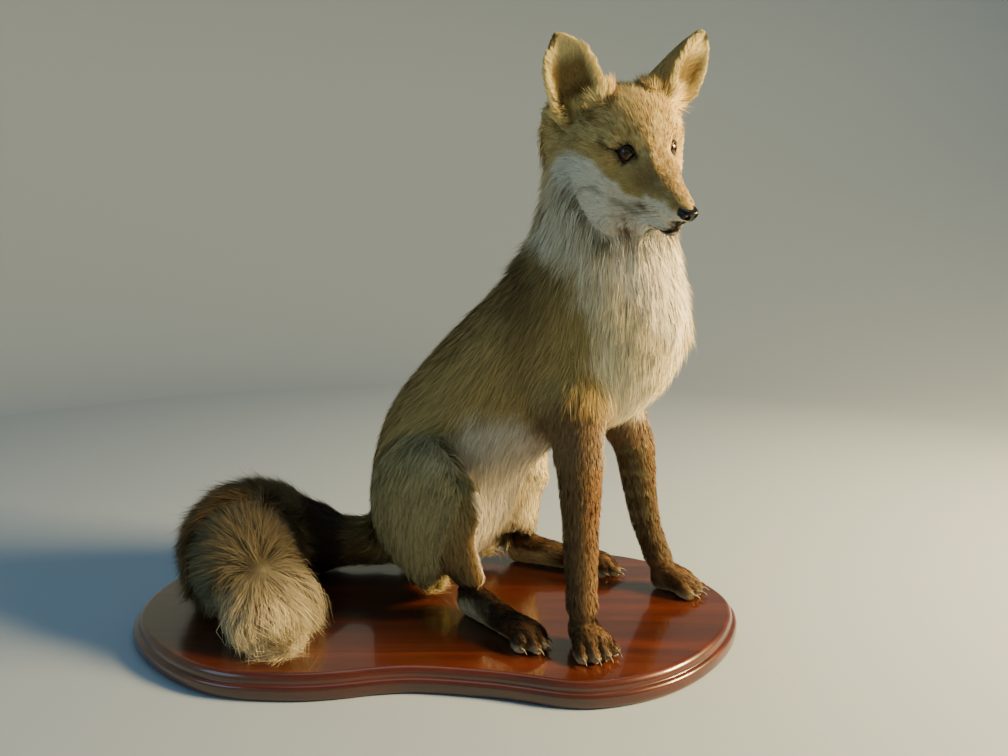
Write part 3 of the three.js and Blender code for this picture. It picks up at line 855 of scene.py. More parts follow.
    # rust on the side facing ahead, towards the light: painted warm light
    lay("rust", arm * 0.55 * smoothStep(0.3, 0.9, nx + 0.2 * wander) * smoothStep(60, 150, z) * 0.6)
    inner = smoothStep(0.3, 0.9, -ny * np.sign(y))
    lay("grey", arm * (y > 0) * 0.35 * smoothStep(-0.3, 0.6, fine))
    frosted = smoothStep(60, 110, z + 8 * wander) * smoothStep(-0.5, 0.5, fine)
    lay("grey", arm * inner * (y > 0) * 0.8 * frosted)
    paw = on("paw")
    lay("leg", paw)
    lay("dark", paw * 0.6 * smoothStep(-0.2, 0.6, wander + 0.4))
    # black down the furrows between the toes: painted shade in the grooves
    lay("black", allFeet * furrowDepth(fox) * smoothStep(2, 6, z) * 0.8)
    toes = allFeet * fade(4, 12, z + 1.5 * fine) * (1 - furrowDepth(fox))
    lay("cream", toes * 0.85)
    # tail
    tail = on("tail")
    _, tailShare, _ = alongLine(fox, lines["tail"])
    above = smoothStep(-0.1, 0.7, nz + 0.25 * wander)
    lay("brush", tail)
    lay("saddle", tail * 0.6 * above)
    # a black band near the tail's root: partly the fur's own dark patch, partly painted shade under the
    # swelling brush
    band = smoothStep(0.1, 0.16, tailShare + 0.01 * wander) * fade(0.25, 0.34, tailShare + 0.015 * wander)
    lay("black", tail * band * 0.8)
    ball = on("tail_tip", "tail_brush")
    toWhorl = np.linalg.norm(fox - whorl, axis=1)
    # the ball away from its pale fan: smoky grey fur laid darker still, painted shade
    lay("smokeAndShade", ball * fade(58, 96, toWhorl + 9 * wander) * (1 - 0.5 * above))
    fanWay = (fox - whorl) @ fallWay
    fan = smoothStep(-6, 22, fanWay + 4 * wander) * fade(70, 110, toWhorl)
    lay("cream", ball * fan * (0.35 + 0.3 * smoothStep(-0.3, 0.4, fine)))
    # the ball darker towards the plaque: painted shade where it rests
    lay("dark", ball * 0.45 * fade(6, 30, z) * (1 - fan))
    # head
    skull = on("head", "lower_jaw")
    lay("gold", skull * 1.0)
    # the head's side turned from the light laid darker: painted shade
    lay("tawny", skull * 0.6 * smoothStep(8, 26, side) * (hy < 0))
    streak = softNoise(head * (0.2, 1, 1), 6, 9)
    crown = smoothStep(6, 26, hz - 0.35 * hx) * fade(26, 40, side)
    lay("rust", skull * 0.35 * crown * smoothStep(0.0, 0.7, streak))
    lay("earCream", skull * 0.5 * smoothStep(0.0, 0.7, -streak) * smoothStep(2, 20, hz - 0.2 * hx))
    bridge = smoothStep(16, 34, hx) * fade(8, 15, side) * smoothStep(-20, -4, hz + 0.25 * (hx - 40))
    lay("rust", skull * 0.3 * bridge * smoothStep(-0.6, 0.6, streak))
    lay("cream", skull * 0.45 * bridge * smoothStep(0.1, 0.8, -streak))
    lay("saddle", skull * 0.35 * smoothStep(38, 60, hx) * smoothStep(-22, -10, hz))
    smudge = spot((hx, 52, 18), (hz, -10, 11)) * smoothStep(5, 12, side)
    lay("saddle", skull * 0.6 * smudge)
    folded = np.stack([hx, side, hz], 1)
    tear = np.exp(-((distanceTo(folded, [(34, 17, 3), (48, 13, -9)]) / 4) ** 2))
    lay("dark", skull * 0.5 * tear)
    middle = spot((side, 0, 13))
    lay("dark", skull * 0.55 * crown * middle * smoothStep(0.3, 1.0, softNoise(head * (0.2, 1, 1), 7, 21)))
    faceEdge = np.interp(hx, *zip(*whiteFace)) - 9 * (hy > 0) * spot((hx, 8, 14))
    pale = smoothStep(2.5, -2.5, hz - faceEdge + 1.6 * fine)
    lay("white", skull * pale * smoothStep(-38, -22, hx + 5 * wander))
    nape = headNeck * fade(-40, -24, hx + 5 * wander) * (z > 380)
    lay("tawny", nape * 0.7 * smoothStep(-60, -30, hz + 8 * wander))
    lay("saddle", nape * 0.3 * smoothStep(-56, -26, hx) * smoothStep(0, 20, hz))
    ruff = softNoise(head * (1, 1, 0.35), 9, 33)
    lay("grey", headNeck * 0.55 * smoothStep(0.3, 0.9, ruff) * smoothStep(24, 40, -hz) * (hx < 40))
    patch = spot((hx, 47, 7), (hz, -33, 4.5)) * (side > 8)
    lay("saddle", skull * 0.85 * patch)
    # dark line along the cheek's fold: painted shade in the fold of the fur
    fold = np.array([(0, 60, -31), (18, 43, -24), (34, 29, -33), (46, 15, -42)])
    crease = distanceTo(folded * (1, 0.3, 1), fold * (1, 0.3, 1))
    lay("dark", skull * 0.42 * fade(0.6, 2.4, crease + 0.8 * fine))
    throat = spot((hx, 42, 9), (side, 26, 9), (hz, -52, 9)) * smoothStep(-0.5, 0.3, fine)
    lay("rust", headToNeck * 0.9 * throat)
    lay("dark", headToNeck * 0.7 * throat * throat)
    lay("grey", headNeck * 0.5 * spot((hx, 22, 16), (hz, -62, 22)) * smoothStep(0.1, 0.7, fine))
    lay("black", skull * fade(1.2, 2.5 + 0.7 * smoothStep(76, 86, hx), lips) * smoothStep(52, 64, hx))
    philtrum = spot((hy, 0, 1.3)) * smoothStep(84, 88, hx)
    lay("black", skull * philtrum * smoothStep(-40, -37, hz) * smoothStep(24, 28, -hz))
    for s in (1, -1):
        eye = intoFrame(eyeFrame(s), head)
        near = skull * (np.linalg.norm(eye, axis=1) < 26) * (eye[:, 0] > -8)
        ring = lidRing(eye)
        lay("dark", near * 0.5 * fade(1.4, 1.75, ring))
        thin = 2.4 - 1.3 * smoothStep(8, 22, eye[:, 1])
        outer = np.exp(-(((eye[:, 2] - 0.2 * (eye[:, 1] - 8)) / thin) ** 2))
        outer *= smoothStep(6, 9, eye[:, 1]) * fade(20, 26, eye[:, 1])
        lay("dark", near * 0.85 * outer)
        innerMark = spot((eye[:, 2], -1.5, 2.4)) * smoothStep(7, 9, -eye[:, 1]) * fade(11, 16, -eye[:, 1])
        lay("dark", near * 0.75 * innerMark)
        lay("black", near * fade(1.36, 1.44, ring))
    # ears
    for name in earSet:
        here = on(name)
        t, deep, inner = earCup(name, points)
        outward = intoFrame(earPlaces[name], points)[:, 1] * earSet[name]["side"]
        rise = np.clip((t * (earSet[name]["height"] + 14) - 14) / earSet[name]["height"], 0, 1)
        low = earSet[name]["hollowFrom"] + 0.004 * outward
        hollowHairAndShade = smoothStep(0.3, 0.7, deep) * fade(0.6, 0.8, t) * smoothStep(low, low + 0.16, t)
        lay("brush", here * (1 - inner))
        lay("tawny", here * (1 - inner) * 0.9)
        edged = smoothStep(0, 12, outward + 14 * smoothStep(0.75, 0.95, rise))
        lay("black", here * (1 - inner) * smoothStep(0.25, 0.5, rise) * edged * 0.92)
        lay("earCream", here * inner)
        # the deep part of the cup darker: the ear's own brownish hair with painted shade in the hollow
        lay("hollowHairAndShade", here * inner * hollowHairAndShade)
        lay("gold", here * inner * fade(0.02, 0.14, t) * 0.5)
        lay("tawny", here * fade(0.0, 0.16, t + 0.03 * fine) * smoothStep(4, 16, outward) * 0.6)
        lay("black", here * smoothStep(0.8, 0.88, rise + 0.03 * fine) * smoothStep(-2, 5, outward) * 0.9)
    return colour


skinColour = markings(points, normals, ids)
print("markings laid")


# skin object
def attributeColour(mesh, values):
    held = mesh.attributes.new("coat", "FLOAT_COLOR", "POINT")
    flat = np.concatenate([values, np.ones((len(values), 1))], 1).astype(np.float32)
    held.data.foreach_set("color", flat.ravel())


# Tanned hide under short dense underfur: dull, with a fine nap that the eye reads as down.
hide, hideTree, hideShader = newMaterial("tannedHideUnderfur", Roughness=0.85, IOR=1.45)
hideShader.inputs["Specular IOR Level"].default_value = 0.2
hideCoat = addNode(hideTree, "ShaderNodeAttribute", {"attribute_name": "coat"})
hideSpace = addNode(hideTree, "ShaderNodeTexCoord")
hideNap = addNode(
    hideTree, "ShaderNodeTexNoise", inputs={"Scale": 900.0, "Detail": 3.0},  # nap about 1 mm apart
    links={"Vector": hideSpace.outputs["Object"]},
)
hideMix = addNode(
    hideTree, "ShaderNodeMix", {"data_type": "RGBA", "blend_type": "MULTIPLY"}, {"Factor": 0.35},
    {"A": hideCoat.outputs["Color"], "B": hideNap.outputs["Color"]},
)
hideTree.links.new(hideMix.outputs["Result"], hideShader.inputs["Base Color"])
hideBump = addNode(
    hideTree, "ShaderNodeBump", inputs={"Strength": 0.5, "Distance": 0.0006},
    links={"Height": hideNap.outputs["Fac"]},
)
hideTree.links.new(hideBump.outputs["Normal"], hideShader.inputs["Normal"])

skinMesh.polygons.foreach_set("use_smooth", [True] * len(skinMesh.polygons))
# the skin takes the coat's colours a fifth darker: painted shade where it shows between the tufts
attributeColour(skinMesh, skinColour * 0.8)
skinMesh.materials.clear()
skinMesh.materials.append(hide)
skinMesh.name = "skin"
skin = bpy.data.objects.new("skin", skinMesh)
scene.collection.objects.link(skin)
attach(skin, "root")
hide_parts(*labels)

# coat
# Guard hair over underfur: fine keratin shafts whose gloss breaks up into a soft bloom.
furMaterial, furTree, furShader = newMaterial("foxGuardHair", Roughness=0.7, IOR=1.55)
furShader.inputs["Specular IOR Level"].default_value = 0.22
furCoat = addNode(furTree, "ShaderNodeAttribute", {"attribute_name": "coat"})
furTree.links.new(furCoat.outputs["Color"], furShader.inputs["Base Color"])

coatPieces = {
    "coat_face": dict(labels=("head", "lower_jaw"), blades=96000, perTuft=5, slot="tawny_coat", lock=0.12),
    "coat_crown": dict(labels=("head",), blades=90000, perTuft=6, slot="tawny_coat", lock=0.3),
    "coat_ears": dict(labels=("ear",), blades=56000, perTuft=5, slot="cream_coat", lock=0.15),
    "coat_neck": dict(labels=("neck",), blades=60000, perTuft=6, slot="cream_coat", lock=0.45),
    "coat_shoulders": dict(labels=("trunk",), blades=94000, perTuft=6, slot="tawny_coat", lock=0.35),
    "coat_rump": dict(labels=("trunk",), blades=76000, perTuft=6, slot="tawny_coat", lock=0.3),
    "coat_thighs": dict(labels=("thigh",), blades=68000, perTuft=6, slot="tawny_coat", lock=0.35),
    "coat_legs": dict(
        labels=("forearm", "paw", "shank", "foot"), blades=84000, perTuft=5, slot="leg_coat", lock=0.15,
    ),
    "coat_tail": dict(
        labels=("tail_root", "tail_middle", "tail_brush"), blades=60000, perTuft=6, slot="brush_coat",
        lock=0.45,
    ),
    "coat_tail_tip": dict(labels=("tail_tip",), blades=60000, perTuft=6, slot="cream_coat", lock=0.55),
}
coatSet = {
    "patch": 0.003, "spread": 1.7, "sink": 0.5, "lockSize": 7, "softness": 0.8,
    "lengths": (0.75, 1.2), "astray": 0.13, "rise": (0.3, 1.5), "middle": (0.5, 0.85), "end": (0.5, 1.0),
    "pull": (0.5, 1.3), "grown": (0.78, 1.1), "fray": 0.055, "twist": 0.5, "widths": (0.6, 1.3),
    "clear": 0.6, "clearMore": 2.0,
}
crownLocks = [("rust", 0.3, 0.2, 0.5), ("dark", 0.14, 0.06, 0.5), ("earCream", 0.6, 0.8, 0.6)]
# root and middle darken each blade below its tip: painted shade down in the coat
tipSet = {
    "root": 0.62, "middle": 0.95, "plain": 1.1, "dark": 0.4, "pale": 1.45, "darkUnder": 0.42,
    "darkShare": 0.08, "darkOnTail": 0.36, "darkOnBody": 0.17, "darkOnCrown": 0.2,
    "paleShare": 0.12, "paleOnCrown": 0.25,
}

skinMesh.calc_loop_triangles()
triangles = np.empty(len(skinMesh.loop_triangles) * 3, np.int32)
skinMesh.loop_triangles.foreach_get("vertices", triangles)
triangles = triangles.reshape(-1, 3)
corners = points[triangles]
cross = np.cross(corners[:, 1] - corners[:, 0], corners[:, 2] - corners[:, 0])
areas = np.linalg.norm(cross, axis=1) / 2
triangleId = ids[triangles[:, 0]]
triangleHeadX = inHead[triangles].mean(1)[:, 0]
triangleFoxX = inFox[triangles].mean(1)[:, 0]
skinTree = BVHTree.FromPolygons([Vector(p) for p in points], triangles.tolist())
faceBack = -8  # where the face's coat gives way to the crown's, along the head
shoulderBack = 30  # where the shoulders' coat gives way to the rump's


def piecePart(name):
    chosen = isLabel(triangleId, *coatPieces[name]["labels"])
    if name == "coat_face":
        chosen &= (triangleHeadX > faceBack) | isLabel(triangleId, "lower_jaw")
    if name == "coat_crown":
        chosen &= triangleHeadX <= faceBack
    if name == "coat_shoulders":
        chosen &= triangleFoxX > shoulderBack
    if name == "coat_rump":
        chosen &= triangleFoxX <= shoulderBack
    return chosen


def unwrapped(places, ids, normals):
    # roll each limb off its own middle line: turn about it, and share of its length
    uv = np.zeros((len(places), 2))
    here = sorted(set(ids.tolist()))
    columns = math.ceil(math.sqrt(len(here)))
    for order, one in enumerate(here):
        chosen = ids == one
        label = labels[one]
        if label.startswith("ear"):
            place = earPlaces[label]
            local = intoFrame(place, places[chosen])
            inner = normals[chosen] @ turned(place, [1, 0, 0]) > 0
            u = np.clip(0.25 + local[:, 1] / 140, 0.02, 0.48) + 0.5 * inner
            v = np.clip((local[:, 2] + 15) / 100, 0, 1)
        else:
            frameOf = headPlace if lineOf(label) == "head" else foxPlace
            local = intoFrame(frameOf, places[chosen])
            along, share, offset = alongLine(local, lines[lineOf(label)])
            sideways = unit(np.cross(along, np.array([0.13, 0.2, 0.97])))
            other = np.cross(along, sideways)
            u = (np.arctan2(dots(offset, sideways), dots(offset, other)) / (2 * math.pi)) % 1
            beyond = dots(offset, along) / 120
            v = np.clip(share * 0.8 + 0.1 + beyond, 0, 1)
        cell = np.array([order % columns, order // columns])
        uv[chosen] = (cell + np.stack([u, v], 1) * 0.97 + 0.01) / columns
    return np.clip(uv, 0, 1 - coatSet["patch"])


def bareSkin(local, lips):
    # inside the lids, under the nose pad, and along the lips at the front
    bare = (local[:, 0] > 90) & (local[:, 2] > -30) & (local[:, 2] < -12)
    for side in (1, -1):
        eye = intoFrame(eyeFrame(side), local)
        bare |= (lidRing(eye) < 1.34) & (np.linalg.norm(eye, axis=1) < 18) & (eye[:, 0] > 0)
    return bare | ((lips < 1.5) & (local[:, 0] > 60))


def onSkin(places):
    # nearest skin point, its normal and its triangle
    found = [skinTree.find_nearest(p) for p in places]
    return (
        np.array([f[0] for f in found]),
        np.array([f[1] for f in found]),
        np.array([f[2] for f in found]),
    )


def bladeObject(name, verts, shading, colours):
    # blades of four corners: root, two sides, tip
    n = len(verts) // 4
    mesh = bpy.data.meshes.new(name)
    mesh.vertices.add(n * 4)
    mesh.vertices.foreach_set("co", verts.astype(np.float32).ravel())
    first = (np.arange(n) * 4)[:, None]
    loops = np.concatenate([first + [0, 1, 3], first + [3, 1, 2]], 1)
    mesh.loops.add(n * 6)
    mesh.loops.foreach_set("vertex_index", loops.astype(np.int32).ravel())
    mesh.polygons.add(n * 2)
    mesh.polygons.foreach_set("loop_start", (np.arange(n * 2) * 3).astype(np.int32))
    mesh.update(calc_edges=True)
    mesh.polygons.foreach_set("use_smooth", [True] * (n * 2))
    held = mesh.attributes.new("custom_normal", "FLOAT_VECTOR", "POINT")
    held.data.foreach_set("vector", shading.astype(np.float32).ravel())
    attributeColour(mesh, colours)
    mesh.materials.append(furMaterial)
    made = bpy.data.objects.new(name, mesh)
    scene.collection.objects.link(made)
    return made


def growTufts(name, seed):
    spec = coatPieces[name]
    draw = np.random.default_rng(seed)
    pool = np.flatnonzero(piecePart(name))
    weight = areas[pool] * amount[triangles[pool]].mean(1)
    count = spec["blades"] // spec["perTuft"]
    # even steps along the running weight keep the tufts from clotting
    running = np.cumsum(weight) / weight.sum()
    steps = (np.arange(count) + draw.random(count)) / count
    picks = pool[np.searchsorted(running, steps, side="right").clip(0, len(pool) - 1)]
    a, b = draw.random((2, count))
    flip = a + b > 1
    a, b = np.where(flip, 1 - a, a), np.where(flip, 1 - b, b)
    share = np.stack([1 - a - b, a, b], 1)

    def at(values):
        return np.einsum("nk,nk...->n...", share, values[triangles[picks]])

    keep = ~bareSkin(intoFrame(headPlace, at(points)), at(lips))
    share, picks = share[keep], picks[keep]
    count = len(picks)
    root, normal = at(points), unit(at(normals))
    way = layDown(at(lie), normal)
    tuftLength, tuftWidth, tuftDepth, tuftLift = at(length), at(width), at(depth), at(lift)
    colour = at(skinColour)
    ownIds = ids[triangles[picks, 0]]

    tuftLength = tuftLength * draw.uniform(*coatSet["lengths"], count)
    sideways = np.cross(normal, way)
    way = unit(way + sideways * draw.normal(0, coatSet["astray"], count)[:, None])
    step = (tuftLength * 0.5 * mm)[:, None]
    # the tuft follows the form: both joints stand over the skin by their share of the coat's depth
    skinOne, normalOne, faceOne = onSkin(root + way * step)
    lieOne = layDown(lie[triangles[faceOne, 0]] * 0.7 + way * 0.6, normalOne)
    skinTwo, normalTwo, _ = onSkin(skinOne + lieOne * step)
    rise = tuftLift * tuftLength * draw.uniform(*coatSet["rise"], count)
    heightOne = (tuftDepth * draw.uniform(*coatSet["middle"], count) + 0.35 * rise) * mm
    heightTwo = (tuftDepth * draw.uniform(*coatSet["end"], count) + rise) * mm
    one = skinOne + normalOne * heightOne[:, None]
    two = skinTwo + normalTwo * heightTwo[:, None]
    reach = np.clip(np.linalg.norm(one - root, axis=1, keepdims=True), 0.7 * step, 1.2 * step)
    one = root + unit(one - root) * reach
    two = one + unit(two - one) * step

    # neighbouring tufts draw together into locks
    leads = np.arange(0, count, coatSet["lockSize"])
    tree = kdtree.KDTree(len(leads))
    for i, lead in enumerate(leads):
        tree.insert(root[lead], i)
    tree.balance()
    lead = leads[[tree.find(p)[1] for p in root]]
    pull = (spec["lock"] * at(bunch) * draw.uniform(*coatSet["pull"], count))[:, None]
    two = two + pull * (two[lead] + (root - root[lead]) * 0.35 - two)
    one = one + 0.35 * pull * (one[lead] + (root - root[lead]) * 0.8 - one)

    per = spec["perTuft"]
    n = count * per

    def each(values):
        return np.repeat(values, per, axis=0)

    wide = coatSet["spread"] * (each(tuftLength) / 30) ** 0.6 * mm
    scatter = draw.normal(0, 1, (n, 2)) * wide[:, None]
    shift = each(sideways) * scatter[:, :1] + each(way) * scatter[:, 1:]
    grow = draw.uniform(*coatSet["grown"], n)[:, None]
    frayed = draw.normal(0, coatSet["fray"], (n, 3)) * (each(tuftLength) * mm)[:, None]
    p0 = each(root) + shift - each(normal) * (coatSet["sink"] * mm)
    p1 = each(root) + shift * 0.9 + (each(one) - each(root)) * grow + frayed * 0.3
    p2 = each(root) + shift * 0.45 + (each(two) - each(root)) * grow + frayed
    for p in (p1, p2):  # nothing dips into the plaque
        clear = plaqueTop + coatSet["clear"] * mm + draw.uniform(0, coatSet["clearMore"] * mm, n)
        p[:, 2] = np.maximum(p[:, 2], clear)
    direction = unit(p2 - p0)
    flat = unit(np.cross(direction, each(normal)))
    twist = np.clip(draw.normal(0, coatSet["twist"], n), -1.3, 1.3)[:, None]
    across = flat * np.cos(twist) + np.cross(direction, flat) * np.sin(twist)
    across = across * (each(tuftWidth) * draw.uniform(*coatSet["widths"], n) * mm / 2)[:, None]
    verts = np.stack([p0, p1 + across, p2, p1 - across], 1).reshape(-1, 3)
    facing = unit(np.cross(across, direction))
    soft = coatSet["softness"]
    shading = unit(each(normal) * soft + facing * (1 - soft) + draw.normal(0, 0.1, (n, 3)))

    # colours: each blade darker towards its root, painted shade down in the coat; each tuft and blade a
    # little different, some tips dark or pale
    shade = each(draw.normal(1, 0.09, count)) * draw.normal(1, 0.07, n)
    rootHead = intoFrame(headPlace, root)
    above = rootHead[:, 2] - 0.2 * rootHead[:, 0]
    streaky = isLabel(ownIds, "head") * (colour.mean(1) < 0.5) * smoothStep(0, 14, above)
    mood = draw.random(count)[lead] * 0.8 + draw.random(count) * 0.2
    for tone, low, high, most in crownLocks:
        share = (smoothStep(low, high, mood) * most * streaky)[:, None]
        colour = colour * (1 - share) + palette[tone] * share
    base = np.clip(each(colour) * shade[:, None], 0, 1)
    onTail = isLabel(ownIds, "tail_brush", "tail_root", "tail_middle")
    darkTips = np.where(onTail, tipSet["darkOnTail"], tipSet["darkShare"])
    darkTips = np.where(isLabel(ownIds, "trunk", "neck"), tipSet["darkOnBody"], darkTips)
    onCrown = isLabel(ownIds, "head") * smoothStep(0, 12, rootHead[:, 2])
    darkTips = np.maximum(darkTips, tipSet["darkOnCrown"] * onCrown)
    paleTips = tipSet["paleShare"] + tipSet["paleOnCrown"] * onCrown
    lot = draw.random(n)
    isDark = (lot < each(darkTips)) & (each(colour).mean(1) < tipSet["darkUnder"])
    isPale = lot > 1 - each(paleTips)
    tip = np.where(isDark, tipSet["dark"], np.where(isPale, tipSet["pale"], tipSet["plain"]))[:, None]
    middle = base * tipSet["middle"]
    stages = np.stack([base * tipSet["root"], middle, base * tip, middle], 1).reshape(-1, 3)
    made = bladeObject(name, verts, np.repeat(shading, 4, axis=0), np.clip(stages, 0, 1))

    corner = each(unwrapped(root, ownIds, normal))
    slide = ((np.arange(n) % per) / per)[:, None]
    inPatch = np.array([[0.5, 0], [1, 0.5], [0, 0.5], [0, 0.5], [1, 0.5], [0.5, 1]])
    inPatch = inPatch * (1 / per, 1) + np.stack([slide, slide * 0], 2)
    uv = corner[:, None, :] + inPatch * coatSet["patch"]
    layer = made.data.uv_layers.new(name="OFBake")
    layer.uv.foreach_set("vector", uv.astype(np.float32).ravel())
    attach(made, "root")
    print(name, n * 2, "triangles")


for number, name in enumerate(coatPieces):
    growTufts(name, 100 + number)

# eyes
eyeColours = {"pupil": "#050302", "iris": "#53300f", "irisOuter": "#2a1607", "rim": "#0c0705"}

# Blown glass eye over painted iris: deep amber with a wet, mirror-like front.
glass, glassTree, glassShader = newMaterial("glassEye", Roughness=0.04, IOR=1.5)
glassShader.inputs["Specular IOR Level"].default_value = 0.0  # the gloss is all in the lacquer-like front
glassShader.inputs["Coat Weight"].default_value = 1.0
glassShader.inputs["Coat Roughness"].default_value = 0.01
glassGaze = addNode(glassTree, "ShaderNodeAttribute", {"attribute_name": "gaze"})
glassRamp = setRamp(
    addNode(glassTree, "ShaderNodeValToRGB", links={"Fac": glassGaze.outputs["Fac"]}),
    [(0.0, eyeColours["pupil"]), (0.27, eyeColours["pupil"]), (0.33, eyeColours["iris"]),
     (0.55, eyeColours["irisOuter"]), (0.68, eyeColours["rim"])],
)
glassTree.links.new(glassRamp.outputs["Color"], glassShader.inputs["Base Color"])

for sideName, side in (("right", -1), ("left", 1)):
    place = headPlace @ eyeFrame(side)
    steps, around = 28, 40
    eyePoints = []
    for i in range(steps + 1):
        a = math.pi * i / steps
        r = eyeSet["radius"] * (1 + eyeSet["cornea"] * math.exp(-((a / 0.55) ** 2)))
        for j in range(around):
            b = 2 * math.pi * j / around
            eyePoints.append((r * math.cos(a), r * math.sin(a) * math.cos(b), r * math.sin(a) * math.sin(b)))
    faces = bands(steps + 1, around)
    eyeball = newObject("eyeball_" + sideName, fromFrame(place, eyePoints), faces, glass)
    work = bmesh.new()
    work.from_mesh(eyeball.data)
    bmesh.ops.remove_doubles(work, verts=work.verts, dist=1e-7)
    bmesh.ops.recalc_face_normals(work, faces=work.faces)
    work.to_mesh(eyeball.data)
    work.free()
    inEye = intoFrame(place, verticesOf(eyeball.data))
    turnAway = np.where(inEye[:, 0] > 0, np.hypot(inEye[:, 1] * 1.15, inEye[:, 2]) / eyeSet["radius"], 1.0)
    held = eyeball.data.attributes.new("gaze", "FLOAT", "POINT")
    held.data.foreach_set("value", turnAway.astype(np.float32))
    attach(eyeball, "root")
    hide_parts("eye_" + sideName)

# the roll round the lids, with a drawn-out outer corner
rimSet = {"thick": 0.75, "wide": 0.95, "shift": 0.3, "proud": 0.35, "corner": 1.2}

# Bare black skin of the lids: a fine roll round each opening, dull beside the wet eye.
lidSkin, lidTree, lidShader = newMaterial("bareLidSkin", Roughness=0.35, IOR=1.45)
lidShader.inputs["Base Color"].default_value = hexToLinear("#15100d")
lidSpace = addNode(lidTree, "ShaderNodeTexCoord")
lidNoise = addNode(
    lidTree, "ShaderNodeTexNoise", inputs={"Scale": 1400.0},  # creases 0.7 mm apart
    links={"Vector": lidSpace.outputs["Object"]},
)
lidBump = addNode(
    lidTree, "ShaderNodeBump", inputs={"Strength": 0.2, "Distance": 0.0002},
    links={"Height": lidNoise.outputs["Fac"]},
)
lidTree.links.new(lidBump.outputs["Normal"], lidShader.inputs["Normal"])

for sideName, side in (("right", -1), ("left", 1)):
    place = headPlace @ eyeFrame(side)
    around, sides = 64, 8
    lidPoints = []
    for j in range(around):
        b = 2 * math.pi * j / around
        wide = eyeSet["halfWide"] * math.cos(b)
        if math.cos(b) > 0.9:
            wide += rimSet["corner"] * (math.cos(b) - 0.9) / 0.1
        high = eyeSet["halfHigh"] * math.sin(b) * (1 - eyeSet["narrowing"] * abs(math.cos(b)) ** 2.2)
        r = eyeSet["radius"] + rimSet["proud"]
        ahead = math.sqrt(max(r * r - wide * wide - high * high, 1.0))
        centre = np.array([ahead, wide, high])
        outward = unit(centre)
        ringWay = np.array([0, math.cos(b), math.sin(b)])
        along = unit(ringWay - outward * (ringWay @ outward))
        for k in range(sides):
            c = 2 * math.pi * k / sides
            roll = along * (rimSet["wide"] * math.sin(c) + rimSet["shift"])
            lidPoints.append(centre + outward * rimSet["thick"] * math.cos(c) + roll)
    faces = bands(around, sides, closed=True)
    lid = newObject("lid_rim_" + sideName, fromFrame(place, lidPoints), faces, lidSkin)
    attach(lid, "root")

# nose
noseSet = {
    "middle": (95.5, 0, -21.8), "half": (8.2, 8.6, 6.8), "narrower": 0.5, "flatFrom": 5.2, "slope": 1.8,
    "cleft": 0.8, "nostril": (-3.6, -1.2, 0), "slit": 0.6,
}

# Bare nose leather, lacquered black: cobbled fine grain under a wet gloss.
leather, leatherTree, leatherShader = newMaterial("lacqueredNoseLeather", Roughness=0.28, IOR=1.5)
leatherShader.inputs["Base Color"].default_value = hexToLinear("#090706")
leatherShader.inputs["Specular IOR Level"].default_value = 0.3
leatherShader.inputs["Coat Weight"].default_value = 0.35
leatherShader.inputs["Coat Roughness"].default_value = 0.12
leatherSpace = addNode(leatherTree, "ShaderNodeTexCoord")
leatherCells = addNode(
    leatherTree, "ShaderNodeTexVoronoi", inputs={"Scale": 1300.0},  # cobbles about 0.8 mm across
    links={"Vector": leatherSpace.outputs["Object"]},
)
leatherBump = addNode(
    leatherTree, "ShaderNodeBump", {"invert": True}, {"Strength": 0.35, "Distance": 0.0003},
    {"Height": leatherCells.outputs["Distance"]},
)
leatherTree.links.new(leatherBump.outputs["Normal"], leatherShader.inputs["Normal"])


def buildNose():
    work = bmesh.new()
    bmesh.ops.create_icosphere(work, subdivisions=5, radius=1)
    local = np.array([v.co for v in work.verts])
    x, _, z = local.T
    # squared-off pad: flat on top, rounded ahead, narrower below, with a cleft down the middle
    shape = np.sign(local) * np.abs(local) ** np.array([0.84, 0.8, 0.8])
    shape *= np.array(noseSet["half"])
    shape[:, 1] *= 1 - noseSet["narrower"] * smoothStep(0.0, 1.0, -z)
    flatFrom = noseSet["flatFrom"]
    shape[:, 2] = np.minimum(shape[:, 2], flatFrom + 0.25 * (shape[:, 2] - flatFrom))
    shape[:, 2] -= noseSet["slope"] * smoothStep(0.1, 0.9, z) * smoothStep(-0.2, 0.9, x)  # down to the tip
    front = smoothStep(0.2, 0.8, x)
    shape[:, 0] -= noseSet["cleft"] * front * spot((shape[:, 1], 0, 0.8)) * smoothStep(-0.5, 0.5, -z)
    for s in (1, -1):  # comma-shaped nostrils that run out to the sides
        pit = np.linalg.norm((shape - np.array([7.4, 4.2 * s, -0.8])) / (5.4, 2.7, 2.5), axis=1)
        slit = np.linalg.norm((shape - np.array([3.0, 7.4 * s, -2.4])) / (5.0, 3.0, 1.1), axis=1)
        sunk = np.maximum(fade(0.35, 1.0, pit), noseSet["slit"] * fade(0.3, 1.0, slit))
        shape += sunk[:, None] * np.array(noseSet["nostril"]) * (1, s, 1)
    shape = shape + np.array(noseSet["middle"])
    for v, p in zip(work.verts, fromFrame(headPlace, shape)):
        v.co = p
    mesh = bpy.data.meshes.new("nose_pad")
    work.to_mesh(mesh)
    work.free()
    mesh.polygons.foreach_set("use_smooth", [True] * len(mesh.polygons))
    mesh.materials.append(leather)
    made = bpy.data.objects.new("nose_pad", mesh)
    scene.collection.objects.link(made)
    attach(made, "root")
    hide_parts("nose")


buildNose()
print("face parts made")

